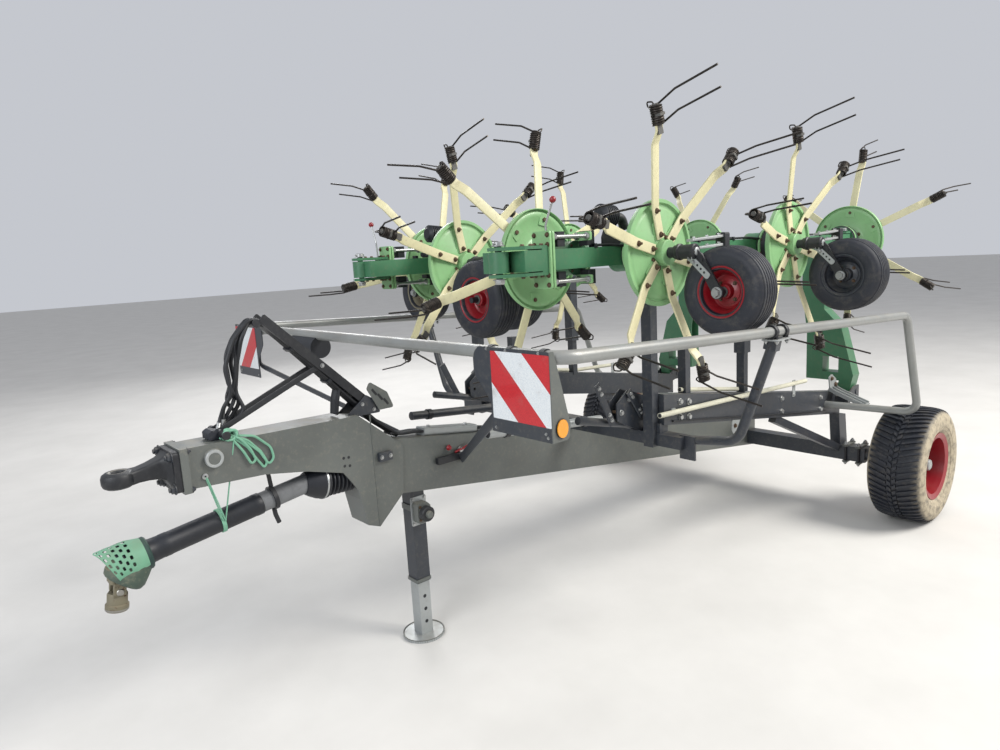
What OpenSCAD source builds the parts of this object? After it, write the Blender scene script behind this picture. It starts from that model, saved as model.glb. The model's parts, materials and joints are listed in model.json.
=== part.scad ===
// Trailed tedder with eight folding rotors, parked on its jack with the wings folded forward.
// Millimetres. +X forward, +Y the machine's left, +Z up, ground at Z = 0.
// Every station along the machine is counted from the transport axle, which sits at X = axle_x.

/* [Transport wheels] */
// Outside diameter of a transport tyre
tyre_d = 780; // [600:10:900]
// Width of a transport tyre
tyre_w = 340; // [250:10:420]
// Distance between the middles of the two transport tyres
track = 2526; // [2200:2:2800]
// Diameter of the transport rim's outer flange
rim_d = 450; // [350:5:520]

/* [Rotors] */
// Height of the rotor hubs when folded
hub_z = 1907; // [1700:1:2100]
// Diameter of a rotor's disc
disc_d = 500; // [400:10:600]
// Radius at which a tine leg leaves its coil, mean of the pair
tine_r = 612; // [550:1:700]
// Distance between the two legs of a double tine
tine_gap = 95; // [60:1:120]
// Diameter of the tine wire
wire_d = 9.5; // [8:0.5:12]
// Outside diameter of a tine coil
coil_d = 58; // [40:1:70]
// Length of the straight upper part of a tine leg
leg_upper = 100; // [50:5:150]
// Length of the bent lower part of a tine leg
leg_lower = 215; // [150:5:300]

/* [Rotor wheels] */
// Outside diameter of a rotor wheel's tyre
gauge_d = 410; // [350:5:480]
// Width of a rotor wheel's tyre
gauge_w = 165; // [120:5:200]
// Drop of a rotor wheel's middle below the disc
gauge_drop = 300; // [280:5:340]
// Distance of a rotor wheel's middle ahead of the rotor's axis
gauge_lead = 187; // [120:1:220]

/* [Beams] */
// Side of the square wing beams
beam_s = 90; // [70:5:110]
// Height of the wing beams above the discs, in work
beam_h = 195; // [180:5:230]
// Width of the drawbar's main beam
main_w = 140; // [100:5:180]

/* [Guard rail] */
// Diameter of the guard rail's tube
rail_d = 48; // [38:1:60]
// Side of a square warning board
board_s = 282; // [200:1:423]

/* [Output] */
// Which node to build

/* [Hidden] */
$fn = 48;

// The object's middle is put at X = 0: the front is the drive shaft's end, the rear two rotor wheels.
front_x = 4660;
rear_x = -390 - gauge_drop - gauge_d / 2;
axle_x = -(front_x + rear_x) / 2;
axle_z = tyre_d / 2 - 2;
coil_drop = 120;
lap = 1.5;
rail_y = 1345;

// The pin that the lift frame turns on, and the wings' hinges.
lift_pivot = [-100, 0, 820];
wing_hinge = [-189, 684];
tip_hinge_l = [3108, 632];
tip_hinge_r = [3040, 632];

// Rotor: name, hub X, hub Y, turn about Z, azimuth of the first arm, sideways place of its wheel.
ROTORS = [
  ["l1", -390, 637.5, 0, 176, -105],
  ["l2", 1040, 885, -90, 165, -105],
  ["l3", 2315, 885, -90, 164, -105],
  ["l4", 2626, 379, 90, 167, -105],
  ["r1", -390, -637.5, 0, 212, 105],
  ["r2", 1040, -885, 90, 174, 105],
  ["r3", 2315, -885, 90, 220, 105],
  ["r4", 2491, -379, -90, 167, -105]
];

// Heights of the two long chassis members, which fall to the rear.
function main_top(x) = 590 + 0.15 * x;
function main_low(x) = 315 + 0.15 * x;
function side_low(x) = 664 + 0.164 * x;
function rail_z(x) = 1600 - 0.0517 * (3500 - x);

function unit(v) = v / norm(v);

// Outline of a strip of even thickness along a line of 2-D points, mitred at its bends.
function strip_side(p, h) = [
  for (i = [0 : len(p) - 1])
    let (a = i == 0 ? unit(p[1] - p[0]) : unit(p[i] - p[i - 1]))
    let (b = i == len(p) - 1 ? a : unit(p[i + 1] - p[i]))
    let (n = unit([-(a + b)[1], (a + b)[0]]))
    let (k = 1 / (n * [-a[1], a[0]]))
    p[i] + n * h * k
];
function strip(p, t) = concat(
  strip_side(p, t / 2),
  [for (i = [len(p) - 1 : -1 : 0]) strip_side(p, -t / 2)[i]]
);

// Puts children in a frame with origin o and first two axes ex and ey.
module place(o, ex, ey) {
  ez = cross(ex, ey);
  translate(o)
    rotate([atan2(ey[2], ez[2]), asin(max(-1, min(1, -ex[2]))), atan2(ex[1], ex[0])])
      children();
}

// Straight round bar between two points.
module rod(a, b, r) {
  d = b - a;
  translate(a)
    rotate([0, acos(d[2] / norm(d)), atan2(d[1], d[0])])
      cylinder(r = r, h = norm(d));
}

// Straight flat bar between two points; w lies across it and h stands.
module bar(a, b, w, h) {
  d = b - a;
  translate(a)
    rotate([0, acos(d[2] / norm(d)), atan2(d[1], d[0])])
      translate([-h / 2, -w / 2, 0])
        cube([h, w, norm(d)]);
}

// Round tube bent along a line of points with one bend radius.
// The bends are a hair thicker than the straights, which reach a little way into them.
function bend_cut(p, i, bend) =
  i == 0 || i == len(p) - 1 ? 0 :
  bend * tan(acos(unit(p[i] - p[i - 1]) * unit(p[i + 1] - p[i])) / 2) - lap;
module bent(p, r, bend) {
  for (i = [0 : len(p) - 2]) {
    u = unit(p[i + 1] - p[i]);
    rod(p[i] + u * bend_cut(p, i, bend), p[i + 1] - u * bend_cut(p, i + 1, bend), r);
  }
  for (i = [1 : len(p) - 2]) {
    u = unit(p[i] - p[i - 1]);
    v = unit(p[i + 1] - p[i]);
    n = unit(cross(u, v));
    s = cross(n, u);
    place(p[i] - u * (bend_cut(p, i, bend) + lap) + s * bend, -s, u)
      rotate_extrude(angle = acos(u * v))
        translate([bend, 0])
          circle(r = r + 0.2);
  }
}

// Flat plate with an outline in the X-Z plane, w wide and centred on Y = y.
module side_plate(outline, y, w) {
  translate([0, y + w / 2, 0])
    rotate([90, 0, 0])
      linear_extrude(height = w)
        polygon(outline);
}

// Flat plate with an outline in the Y-Z plane from X = x forward by t.
module cross_plate(outline, x, t) {
  translate([x, 0, 0])
    rotate([90, 0, 90])
      linear_extrude(height = t)
        polygon(outline);
}

module both_sides() {
  children();
  mirror([0, 1, 0])
    children();
}

module on_axle() {
  translate([axle_x, 0, 0])
    children();
}

// A rotor's own frame: Z up and X forward in work; folding has turned it on edge.
module at_rotor(k) {
  translate([axle_x + ROTORS[k][1], ROTORS[k][2], hub_z])
    rotate([0, 0, ROTORS[k][3]])
      rotate([0, 90, 0])
        children();
}

module drawbar() {
  color("DarkSlateGray")
    on_axle() {
      // Main beam, a box open at its rear end
      difference() {
        side_plate([
          [-70, main_low(-70)], [3380, main_low(3380)], [3380, main_top(3380)], [-70, main_top(-70)]
        ], 0, main_w);
        side_plate([
          [-80, main_low(-80) + 8], [3330, main_low(3330) + 8],
          [3330, main_top(3330) - 8], [-80, main_top(-80) - 8]
        ], 0, main_w - 16);
      }
      // Deep plates and the head, open underneath for the drive shaft
      difference() {
        side_plate([
          [3330, 820], [3474, 690], [3535, 715], [3570, 900], [3640, 1000], [3810, 1050],
          [4000, 1085], [4300, 1100], [4305, 1266], [3540, 1250], [3310, 1060]
        ], 0, 160);
        side_plate([[3560, 800], [4290, 800], [4290, 1254], [3560, 1236]], 0, 136);
      }
      translate([4300, -100, 1090])
        cube([30, 200, 180]);
      both_sides()
        translate([4201, 75, 1205])
          rotate([-90, 0, 0])
            cylinder(r = 36, h = 22);
    }
}

module hitch_eye() {
  color("DimGray")
    on_axle() {
      translate([4330, -95, 1098])
        cube([26, 190, 165]);
      difference() {
        union() {
          translate([4350, -45, 1150])
            cube([150, 90, 70]);
          translate([4531, 0, 1150])
            cylinder(r = 60, h = 70);
        }
        translate([4531, 0, 1140])
          cylinder(r = 20.5, h = 100);
      }
    }
}

module chassis_frame() {
  color("DarkSlateGray")
    on_axle() {
      // Cross beam on top of the main beam, and the two side beams from it back to the axle
      translate([2080, -880, 905])
        cube([80, 1760, 65]);
      both_sides() {
        difference() {
          side_plate([
            [-20, side_low(-20)], [2130, side_low(2130)],
            [2130, side_low(2130) + 165], [-20, side_low(-20) + 165]
          ], 720, 80);
          side_plate([
            [-30, side_low(-30) + 7], [2125, side_low(2125) + 7],
            [2125, side_low(2125) + 158], [-30, side_low(-30) + 158]
          ], 720, 66);
        }
        translate([2085, 690, 965])
          cube([70, 60, 60]);
        // Brackets that stand on the axle
        side_plate([[-55, 440], [60, 440], [95, side_low(95) + 5], [-15, side_low(-15) + 5]], 770, 70);
        bar([900, 720, 800], [70, 780, 430], 50, 50);
        // Rests for the folded wings
        translate([2135, 670, 900])
          cube([55, 60, 900]);
        translate([2105, 640, 1796])
          cube([115, 110, 60]);
        translate([1832, 675, 1110])
          cube([46, 50, 270]);
        translate([1220, 675, 1020])
          cube([45, 50, 260]);
        translate([1207, 665, 1278])
          cube([70, 70, 520]);
        translate([1190, 640, 1796])
          cube([105, 110, 60]);
        // Ears and pin of the lift frame's pivot
        for (y = [690, 838])
          side_plate([[-140, 775], [-60, 775], [60, 745], [60, 810], [-60, 865], [-140, 865]], y, 12);
        translate([20, 684, 745])
          cube([40, 166, 60]);
        translate([lift_pivot[0], 680, lift_pivot[2]])
          rotate([-90, 0, 0])
            cylinder(r = 20, h = 168);
        // Bent tube that holds the guard rail
        bent([[2100, 860, 945], [2100, 1165, 985], [2100, 1335, 1460]], 24, 110);
        bar([2100, 1330, 1445], [2100, 1344, 1512], 44, 60);
        translate([2114, 850, 850])
          cube([12, 90, 125]);
      }
    }
}

module axle_beam() {
  color("DarkSlateGray")
    on_axle() {
      difference() {
        translate([-50, -970, 338])
          cube([100, 1940, 106]);
        translate([-60, -main_w / 2, main_low(-70) - 5])
          cube([120, main_w, 300]);
      }
      both_sides()
        translate([0, 960, axle_z])
          rotate([-90, 0, 0])
            cylinder(r = 40, h = 300);
    }
}

module jack_tube() {
  color("DarkSlateGray")
    on_axle()
      translate([3225, 0, 300])
        difference() {
          translate([-40, -40, 0])
            cube([80, 80, 499]);
          translate([-35.5, -35.5, -1])
            cube([71, 71, 470]);
        }
}

module jack_leg() {
  color("DimGray")
    on_axle()
      translate([3225, 0, 0]) {
        translate([-35, -35, 10])
          cube([70, 70, 480]);
        cylinder(r = 110, h = 12);
      }
}

module guard_rails() {
  color("Silver")
    on_axle()
      both_sides()
        bent([
          [214, 758, 773], [205, rail_y, 787], [470, rail_y, rail_z(470)], [3500, rail_y, 1600],
          [3500, 0, 1600]
        ], rail_d / 2, 90);
}

module sign_boards() {
  color("DimGray")
    on_axle()
      both_sides() {
        translate([3526, rail_y - board_s, 1322])
          cube([5, board_s, board_s]);
        side_plate([[3440, 1322], [3531, 1322], [3531, 1570], [3440, 1570]], rail_y + 3, 6);
        translate([3500, 1080, 1572])
          cube([30, 180, 8]);
        bar([3526, 1075, 1400], [2960, 72, 900], 40, 8);
      }
}

module hose_stand() {
  color("DimGray")
    on_axle() {
      for (y = [-30, 30]) {
        bar([3416, y, 1252], [3920, y, 1737], 6, 40);
        bar([3626, y, 1449], [4069, y, 1324], 9, 22);
      }
      translate([3405, -38, 1238])
        cube([190, 76, 18]);
    }
}

module hoses() {
  color("Black")
    on_axle()
      for (y = [-15, 0, 15])
        bent([[3300, y, 1110], [3600, y, 1300], [3960, y, 1745], [4150, y, 1500], [4131, y, 1290]], 9, 60);
}

module pto_shaft() {
  color("DimGray")
    on_axle() {
      rod([3770, 0, 970], [4000, 0, 975], 32);
      rod([3990, 0, 975], [4475, 0, 870], 52);
    }
}

module pto_boot() {
  color("Black")
    on_axle()
      rod([3562, 0, 943], [3790, 0, 972], 66);
}

module pto_yoke() {
  color("Goldenrod")
    on_axle() {
      rod([4460, 0, 873], [4600, 0, 843], 70);
      translate([4560, -40, 800])
        cube([100, 80, 80]);
    }
}

module document_tube() {
  color("Black")
    on_axle()
      rod([3500, -560, 1540], [3500, -300, 1540], 55);
}

module lift_frame() {
  color("DarkGreen")
    on_axle()
      both_sides()
        difference() {
          union() {
            difference() {
              cross_plate([
                [500, 900], [740, 900], [725, 830], [815, 830], [840, 945], [750, 1290],
                [625, 1420], [625, 1952], [460, 1952], [460, 1550], [500, 1250]
              ], -150, 110);
              translate([-200, 620, 960])
                cube([200, 115, 115]);
              translate([-142, 474, 1100])
                cube([94, 130, 860]);
            }
            translate([lift_pivot[0], 715, lift_pivot[2]])
              rotate([-90, 0, 0])
                cylinder(r = 38, h = 110);
          }
          translate([lift_pivot[0], 690, lift_pivot[2]])
            rotate([-90, 0, 0])
              cylinder(r = 20.06, h = 170);
        }
}

// Gearbox round the beam, the fixed axle through the disc and the rotor wheel's arm, in a rotor's frame.
module gearbox(on_top) {
  translate([0, 0, 66])
    cylinder(r = 100, h = beam_h - beam_s / 2 - 66);
  if (on_top)
    translate([0, 0, beam_h - beam_s / 2])
      cylinder(r = 80, h = beam_s + 20);
}

module wheel_carrier(k) {
  y = ROTORS[k][5];
  s = y > 0 ? -1 : 1;
  y0 = y + s * (gauge_w / 2 + 14);
  at_rotor(k) {
    translate([0, 0, -100])
      cylinder(r = 25, h = 166);
    translate([0, 0, -190])
      cylinder(r = 32, h = 102);
    side_plate(strip([[0, -120], [28, -205], [gauge_lead, -gauge_drop]], 46), y0, 12);
    translate([gauge_lead, y0 - s * -9, -gauge_drop])
      rotate([s > 0 ? 90 : -90, 0, 0]) {
        cylinder(r = 30, h = 18);
        translate([0, 0, 5])
          cylinder(r = 15, h = gauge_w + 30);
      }
  }
}

module centre_beam() {
  color("DarkGreen") {
    on_axle() {
      translate([-390 + beam_h - beam_s / 2, -600, hub_z - beam_s / 2])
        cube([beam_s, 1200, beam_s]);
      both_sides() {
        for (z = [hub_z - beam_s / 2 - 19, hub_z + beam_s / 2 + 5])
          translate([0, 0, z])
            linear_extrude(height = 14)
              polygon([
                [-239, 540], [-150, 540], [-150, 640], [-142, 684], [-155, 720], [-189, 734],
                [-223, 720], [-236, 684]
              ]);
        for (z = [hub_z - beam_s / 2 - 10, hub_z + beam_s / 2])
          translate([-239, 540, z])
            cube([89, 50, 10]);
        translate([wing_hinge[0], wing_hinge[1], hub_z - beam_s / 2 - 24])
          cylinder(r = 15, h = beam_s + 48);
      }
    }
    for (k = [0, 4])
      at_rotor(k)
        gearbox(false);
  }
}

module wing_beam(k2, k3, tip) {
  side = ROTORS[k2][2] > 0 ? 1 : -1;
  color("DarkGreen") {
    on_axle()
      mirror([0, side > 0 ? 0 : 1, 0]) {
        difference() {
          union() {
            translate([-150, 690 - beam_s / 2, hub_z - beam_s / 2])
              cube([tip[0] - 56 + 150, beam_s, beam_s]);
            translate([wing_hinge[0], wing_hinge[1], hub_z - beam_s / 2])
              cylinder(r = 44, h = beam_s);
          }
          translate([wing_hinge[0], wing_hinge[1], hub_z - 100])
            cylinder(r = 15.06, h = 200);
        }
        for (z = [hub_z - beam_s / 2 - 19, hub_z + beam_s / 2 + 5])
          translate([0, 0, z])
            linear_extrude(height = 14)
              polygon([
                [tip[0] - 200, 645], [tip[0], 590], [tip[0] + 34, 600], [tip[0] + 46, 632],
                [tip[0] + 34, 666], [tip[0] - 60, 735], [tip[0] - 200, 735]
              ]);
        for (z = [hub_z - beam_s / 2 - 10, hub_z + beam_s / 2])
          translate([tip[0] - 200, 645, z])
            cube([40, 90, 10]);
        translate([tip[0], tip[1], hub_z - beam_s / 2 - 24])
          cylinder(r = 15, h = beam_s + 48);
      }
    for (k = [k2, k3])
      at_rotor(k)
        gearbox(true);
  }
}

module tip_beam(k4, tip) {
  side = ROTORS[k4][2] > 0 ? 1 : -1;
  color("DarkGreen") {
    on_axle()
      mirror([0, side > 0 ? 0 : 1, 0])
        difference() {
          union() {
            translate([ROTORS[k4][1] - 90, 574 - beam_s / 2, hub_z - beam_s / 2])
              cube([tip[0] - ROTORS[k4][1] + 90, beam_s, beam_s]);
            translate([tip[0], tip[1], hub_z - beam_s / 2])
              cylinder(r = 44, h = beam_s);
          }
          translate([tip[0], tip[1], hub_z - 100])
            cylinder(r = 15.06, h = 200);
        }
    at_rotor(k4)
      gearbox(true);
  }
}

module disc(k) {
  e = disc_d / 2;
  color("LightGreen")
    at_rotor(k) {
      rotate_extrude()
        polygon([
          [25.3, -55], [60, -55], [60, -12], [e - 45, -2], [e - 35, 4], [e - 24, 4], [e - 18, -8], [e, -8],
          [e, 18], [e - 6, 18], [e - 6, 0], [e - 13, 0], [e - 19, 12], [e - 40, 12],
          [110, 6], [88, 20], [60, 24], [60, 58], [25.3, 58]
        ]);
      for (i = [0 : 5])
        rotate([0, 0, ROTORS[k][4] + 60 * i])
          translate([0, 25, 0])
            rotate([90, 0, 0])
              linear_extrude(height = 50)
                polygon(strip([
                  [70, -17], [disc_d / 2 - 35, -20], [tine_r - 117, -82], [tine_r - 72, -118],
                  [tine_r + 28, -coil_drop - 2]
                ], 10));
    }
}

// One leg of a double tine, which leaves its coil at r and leans outward.
module tine_leg(r) {
  y = coil_d / 2 - wire_d / 2;
  bend_r = r + leg_upper * sin(25);
  bend_z = -coil_drop - leg_upper * cos(25);
  bent([
    [r, y, -coil_drop], [bend_r, y, bend_z],
    [bend_r + leg_lower * sin(13), y, bend_z - leg_lower * cos(13)]
  ], wire_d / 2, 30);
}

module tines(k) {
  color("DimGray")
    at_rotor(k)
      for (i = [0 : 5])
        rotate([0, 0, ROTORS[k][4] + 60 * i]) {
          for (s = [-1, 1])
            translate([tine_r + s * tine_gap / 3.6 - 21, 0, -coil_drop])
              rotate([0, 90, 0])
                cylinder(r = coil_d / 2, h = 42);
          translate([tine_r - tine_gap / 4, 0, -coil_drop])
            rotate([0, 90, 0])
              cylinder(r = 18, h = tine_gap / 2);
          tine_leg(tine_r - tine_gap / 2 + wire_d / 2);
          tine_leg(tine_r + tine_gap / 2 - wire_d / 2);
        }
}

module rotor_wheel(k) {
  e = gauge_d / 2;
  h = gauge_w / 2;
  color("DarkRed")
    at_rotor(k)
      translate([gauge_lead, ROTORS[k][5], -gauge_drop])
        rotate([90, 0, 0])
          rotate_extrude()
            polygon([
              [15.3, -50], [35, -50], [35, -10], [78, -10], [88, -h + 40], [100, -h + 30],
              [105, -h + 8], [118, -h + 6], [130, -h + 2], [e - 55, -h], [e - 30, -h + 2], [e - 12, -h + 13],
              [e - 3, -h + 32], [e, -h + 55], [e, h - 55], [e - 3, h - 32], [e - 12, h - 13], [e - 30, h - 2],
              [e - 55, h], [130, h - 2], [118, h - 6], [105, h - 8], [100, h - 30], [88, h - 40],
              [78, 10], [35, 10], [35, 50], [15.3, 50]
            ]);
}

module tyre(side) {
  e = tyre_d / 2;
  h = tyre_w / 2;
  b = rim_d / 2;
  color("Black")
    on_axle()
      translate([0, side * track / 2, axle_z])
        rotate([90, 0, 0])
          rotate_extrude()
            polygon([
              [b - 19, -h + 40], [b + 3, -h + 30], [b + 22, -h + 14], [b + 48, -h + 3], [e - 70, -h],
              [e - 46, -h + 4], [e - 26, -h + 13], [e - 10, -h + 32], [e - 2, -h + 60], [e, -h + 90],
              [e, h - 90], [e - 2, h - 60], [e - 10, h - 32], [e - 26, h - 13], [e - 46, h - 4],
              [e - 70, h], [b + 48, h - 3], [b + 22, h - 14], [b + 3, h - 30], [b - 19, h - 40]
            ]);
}

module rim(side) {
  h = tyre_w / 2;
  b = rim_d / 2;
  color("DarkRed")
    on_axle()
      translate([0, side * track / 2, axle_z])
        rotate([side > 0 ? -90 : 90, 0, 0])
          rotate_extrude()
            polygon([
              [40.3, -105], [90, -105], [90, -60], [b - 75, -60], [b - 40, -90], [b - 35, -h + 32],
              [b, -h + 22], [b, -h + 28], [b - 19, -h + 40], [b - 19, h - 40], [b, h - 28],
              [b, h - 22], [b - 35, h - 32], [b - 40, h - 65], [b - 47, 40], [b - 75, -45], [90, -45],
              [90, 0], [40.3, 0]
            ]);
}

drawbar();
chassis_frame();
axle_beam();
hitch_eye();
jack_tube();
jack_leg();
guard_rails();
sign_boards();
hose_stand();
hoses();
pto_shaft();
pto_boot();
pto_yoke();
document_tube();
lift_frame();
centre_beam();
wing_beam(1, 2, tip_hinge_l);  // wing_beam_left
wing_beam(5, 6, tip_hinge_r);  // wing_beam_right
tip_beam(3, tip_hinge_l);  // tip_beam_left
tip_beam(7, tip_hinge_r);  // tip_beam_right
color("DimGray") for (k = [0, 4]) wheel_carrier(k);  // wheel_arms_centre
color("DimGray") for (k = [1, 2]) wheel_carrier(k);  // wheel_arms_left
color("DimGray") for (k = [5, 6]) wheel_carrier(k);  // wheel_arms_right
color("DimGray") wheel_carrier(3);  // wheel_arm_l4
color("DimGray") wheel_carrier(7);  // wheel_arm_r4
for (k = [0 : len(ROTORS) - 1]) {
  disc(k);
  tines(k);
  rotor_wheel(k);
}
tyre(1);  // tyre_left
tyre(-1);  // tyre_right
rim(1);  // rim_left
rim(-1);  // rim_right
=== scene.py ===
"""A trailed hay tedder with eight folding rotors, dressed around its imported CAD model.

Millimetres, as in the CAD source, and Piece turns them into the scene's metres. +X is forward, +Y the
machine's left and +Z up. Stations along the machine are counted from the transport axle, and
A(x, y, z) turns one into a point of the scene.
"""

import json
import math

import bpy
from mathutils import Matrix, Vector


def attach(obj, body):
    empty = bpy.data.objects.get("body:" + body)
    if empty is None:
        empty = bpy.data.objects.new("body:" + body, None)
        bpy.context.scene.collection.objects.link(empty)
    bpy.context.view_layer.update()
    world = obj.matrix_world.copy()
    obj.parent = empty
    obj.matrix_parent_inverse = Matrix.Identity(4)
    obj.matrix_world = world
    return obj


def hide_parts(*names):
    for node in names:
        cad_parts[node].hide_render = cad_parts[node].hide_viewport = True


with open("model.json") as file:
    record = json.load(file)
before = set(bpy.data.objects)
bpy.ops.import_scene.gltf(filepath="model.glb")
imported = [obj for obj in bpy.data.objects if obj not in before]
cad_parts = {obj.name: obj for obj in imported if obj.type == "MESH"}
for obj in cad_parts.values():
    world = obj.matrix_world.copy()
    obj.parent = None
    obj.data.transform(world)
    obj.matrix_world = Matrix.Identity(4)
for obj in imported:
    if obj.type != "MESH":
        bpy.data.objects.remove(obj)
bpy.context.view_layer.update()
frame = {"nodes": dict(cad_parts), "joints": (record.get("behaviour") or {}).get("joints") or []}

MM = 0.001
SHARP = math.radians(34)
AHEAD = (1.0, 0.0, 0.0)
LEFT = (0.0, 1.0, 0.0)
UP = (0.0, 0.0, 1.0)
BACK = (-1.0, 0.0, 0.0)
DOWN = (0.0, 0.0, -1.0)
ON_SIDE = Matrix(((1, 0, 0, 0), (0, 0, -1, 0), (0, 1, 0, 0), (0, 0, 0, 1)))


def joint(name):
    """A joint's place and its axis."""
    entry = next(entry for entry in frame["joints"] if entry["name"] == name)
    return Vector(entry["pos_m"]) / MM, Vector(entry["axis"])


AXLE_X, HALF_TRACK, AXLE_Z = joint("transport_wheel_left_spin")[0]
HUB_Z = joint("rotor_l1_spin")[0].z
TYRE_R = 390
ROTOR_TYRE_R = 205
ROTORS = ("l1", "l2", "l3", "l4", "r1", "r2", "r3", "r4")
FIRST_ARM = dict(zip(ROTORS, (176, 165, 164, 167, 212, 174, 220, 167)))
ARM_COUNT = 6
BEAM_HALF = 45
RAIL_Y = 1345
BOARD_X = 3526
GUARD_START, GUARD_END = (3785, 0, 975), (4475, 0, 871)
YOKE_START, YOKE_END = (4462, 0, 873), (4630, 0, 848)


def A(x, y, z):
    """A point whose X is counted from the transport axle."""
    return Vector((AXLE_X + x, y, z))


def main_top(x):
    """Height of the main beam's top at a station."""
    return 590 + 0.15 * x


def side_low(x):
    """Height of a side beam's underside at a station."""
    return 664 + 0.164 * x


def rail_z(x):
    """Height of the guard rail's middle at a station."""
    return 1600 - 0.0517 * (3500 - x)


def place_in_scene(made):
    """Links an object to the scene and gives it back."""
    bpy.context.scene.collection.objects.link(made)
    return made


def set_camera():
    """Puts the camera where the photograph was taken from."""
    camera = place_in_scene(bpy.data.objects.new("camera", bpy.data.cameras.new("camera")))
    right = Vector((-0.74819, 0.66100, -0.05729))
    up = Vector((-0.15342, -0.08835, 0.98420))
    camera.matrix_world = Matrix((right, up, right.cross(up))).transposed().to_4x4()
    camera.matrix_world.translation = A(5081.4, 2875.7, 1931.3) * MM
    camera.data.sensor_width = 36.0
    camera.data.lens = 24.93
    camera.data.clip_end = 200.0
    bpy.context.scene.camera = camera


set_camera()


# Materials

def linear(*colour):
    """A colour given as 0 to 255 in sRGB, in the linear values that a shader takes."""
    parts = [value / 255.0 for value in colour]
    return tuple(v / 12.92 if v <= 0.04045 else ((v + 0.055) / 1.055) ** 2.4 for v in parts) + (1.0,)


class Nodes:
    """Builds one material's node tree in short calls; a value is a number, a colour or an output."""

    def __init__(self, name):
        self.material = bpy.data.materials.new(name)
        self.material.use_nodes = True
        self.tree = self.material.node_tree
        self.tree.nodes.clear()
        output = self.node("OutputMaterial")
        self.shader = self.node("BsdfPrincipled")
        self.feed(output.inputs[0], self.shader.outputs[0])
        self.coords = self.node("TexCoord").outputs["Object"]
        self.geometry = self.node("NewGeometry")

    def feed(self, socket, value):
        """Links a socket to an output, or sets it to a value."""
        if isinstance(value, bpy.types.NodeSocket):
            self.tree.links.new(value, socket)
        else:
            socket.default_value = value

    def node(self, kind, *values, operation=None, **named):
        """A new node with its first inputs fed in order and others by name."""
        made = self.tree.nodes.new("ShaderNode" + kind)
        if operation:
            made.operation = operation
        for socket, value in zip(made.inputs, values):
            self.feed(socket, value)
        for name, value in named.items():
            self.feed(made.inputs[name.replace("_", " ")], value)
        return made

    def paint(self, **named):
        """Feeds the shader's own sockets and gives back the material."""
        for name, value in named.items():
            self.feed(self.shader.inputs[name.replace("_", " ")], value)
        return self.material

    def noise(self, scale, detail=4.0, rough=0.6, stretch=None):
        """The value of a noise texture on the object."""
        source = self.node("Mapping", self.coords, Scale=stretch).outputs[0] if stretch else self.coords
        return self.node("TexNoise", source, Scale=scale, Detail=detail, Roughness=rough).outputs[0]

    def ramp(self, source, low, high, ends=(0.0, 1.0)):
        """Maps a value so that low gives the first end and high the other, clamped."""
        return self.node("MapRange", source, low, high, *ends).outputs[0]

    def math(self, operation, *values):
        """A sum, product or other function of values."""
        return self.node("Math", *values, operation=operation).outputs[0]

    def times(self, *values):
        """The product of two values."""
        return self.math("MULTIPLY", *values)

    def mix(self, factor, first, second):
        """Mixes two colours."""
        made = self.node("Mix", factor)
        made.data_type = "RGBA"
        self.feed(made.inputs[6], first)
        self.feed(made.inputs[7], second)
        return made.outputs[2]

    def bump(self, height, strength, distance=0.001):
        """Gives the surface a fine relief."""
        relief = self.node("Bump", Height=height, Strength=strength, Distance=distance)
        self.paint(Normal=relief.outputs[0])


def surface(name, colour, rough=0.45, metal=0.0, coat=0.0, dirt=0.5, dirt_colour=(128, 116, 96), rust=0.0,
            grain=260.0, grain_depth=0.15, patch=3.0):
    """A weathered surface: uneven colour, dust on what looks up, dirt in patches, and rust spots."""
    n = Nodes(name)
    base = linear(*colour)
    dark = tuple(0.82 * channel for channel in base[:3]) + (1.0,)
    result = n.mix(n.ramp(n.noise(patch), 0.35, 0.65), base, dark)
    fine = n.ramp(n.noise(45.0, 6.0, 0.7), 0.52, 0.75)
    result = n.mix(n.times(fine, dirt * 0.45), result, linear(*dirt_colour))
    upward = n.ramp(n.node("SeparateXYZ", n.geometry.outputs["Normal"]).outputs[2], -0.1, 0.9)
    settled = n.times(n.times(upward, n.ramp(n.noise(9.0, 6.0, 0.65), 0.38, 0.72)), dirt)
    result = n.mix(settled, result, linear(*dirt_colour))
    roughness = n.math("ADD", n.math("ADD", n.times(settled, 0.35), n.times(fine, 0.15)), rough)
    if rust > 0.0:
        spots = n.ramp(n.noise(38.0, 8.0, 0.75), 0.72 - 0.2 * rust, 0.78 - 0.16 * rust)
        mask = n.times(spots, min(1.0, 0.35 + rust))
        shades = n.mix(n.ramp(n.noise(120.0), 0.3, 0.7), linear(96, 50, 26), linear(58, 36, 26))
        result = n.mix(mask, result, shades)
        roughness = n.math("ADD", roughness, n.times(mask, 0.4))
    n.bump(n.noise(grain, 3.0, 0.6), grain_depth)
    return n.paint(Base_Color=result, Roughness=n.math("MINIMUM", roughness, 0.95), Metallic=metal,
                   Coat_Weight=coat, Coat_Roughness=0.15)


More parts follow.
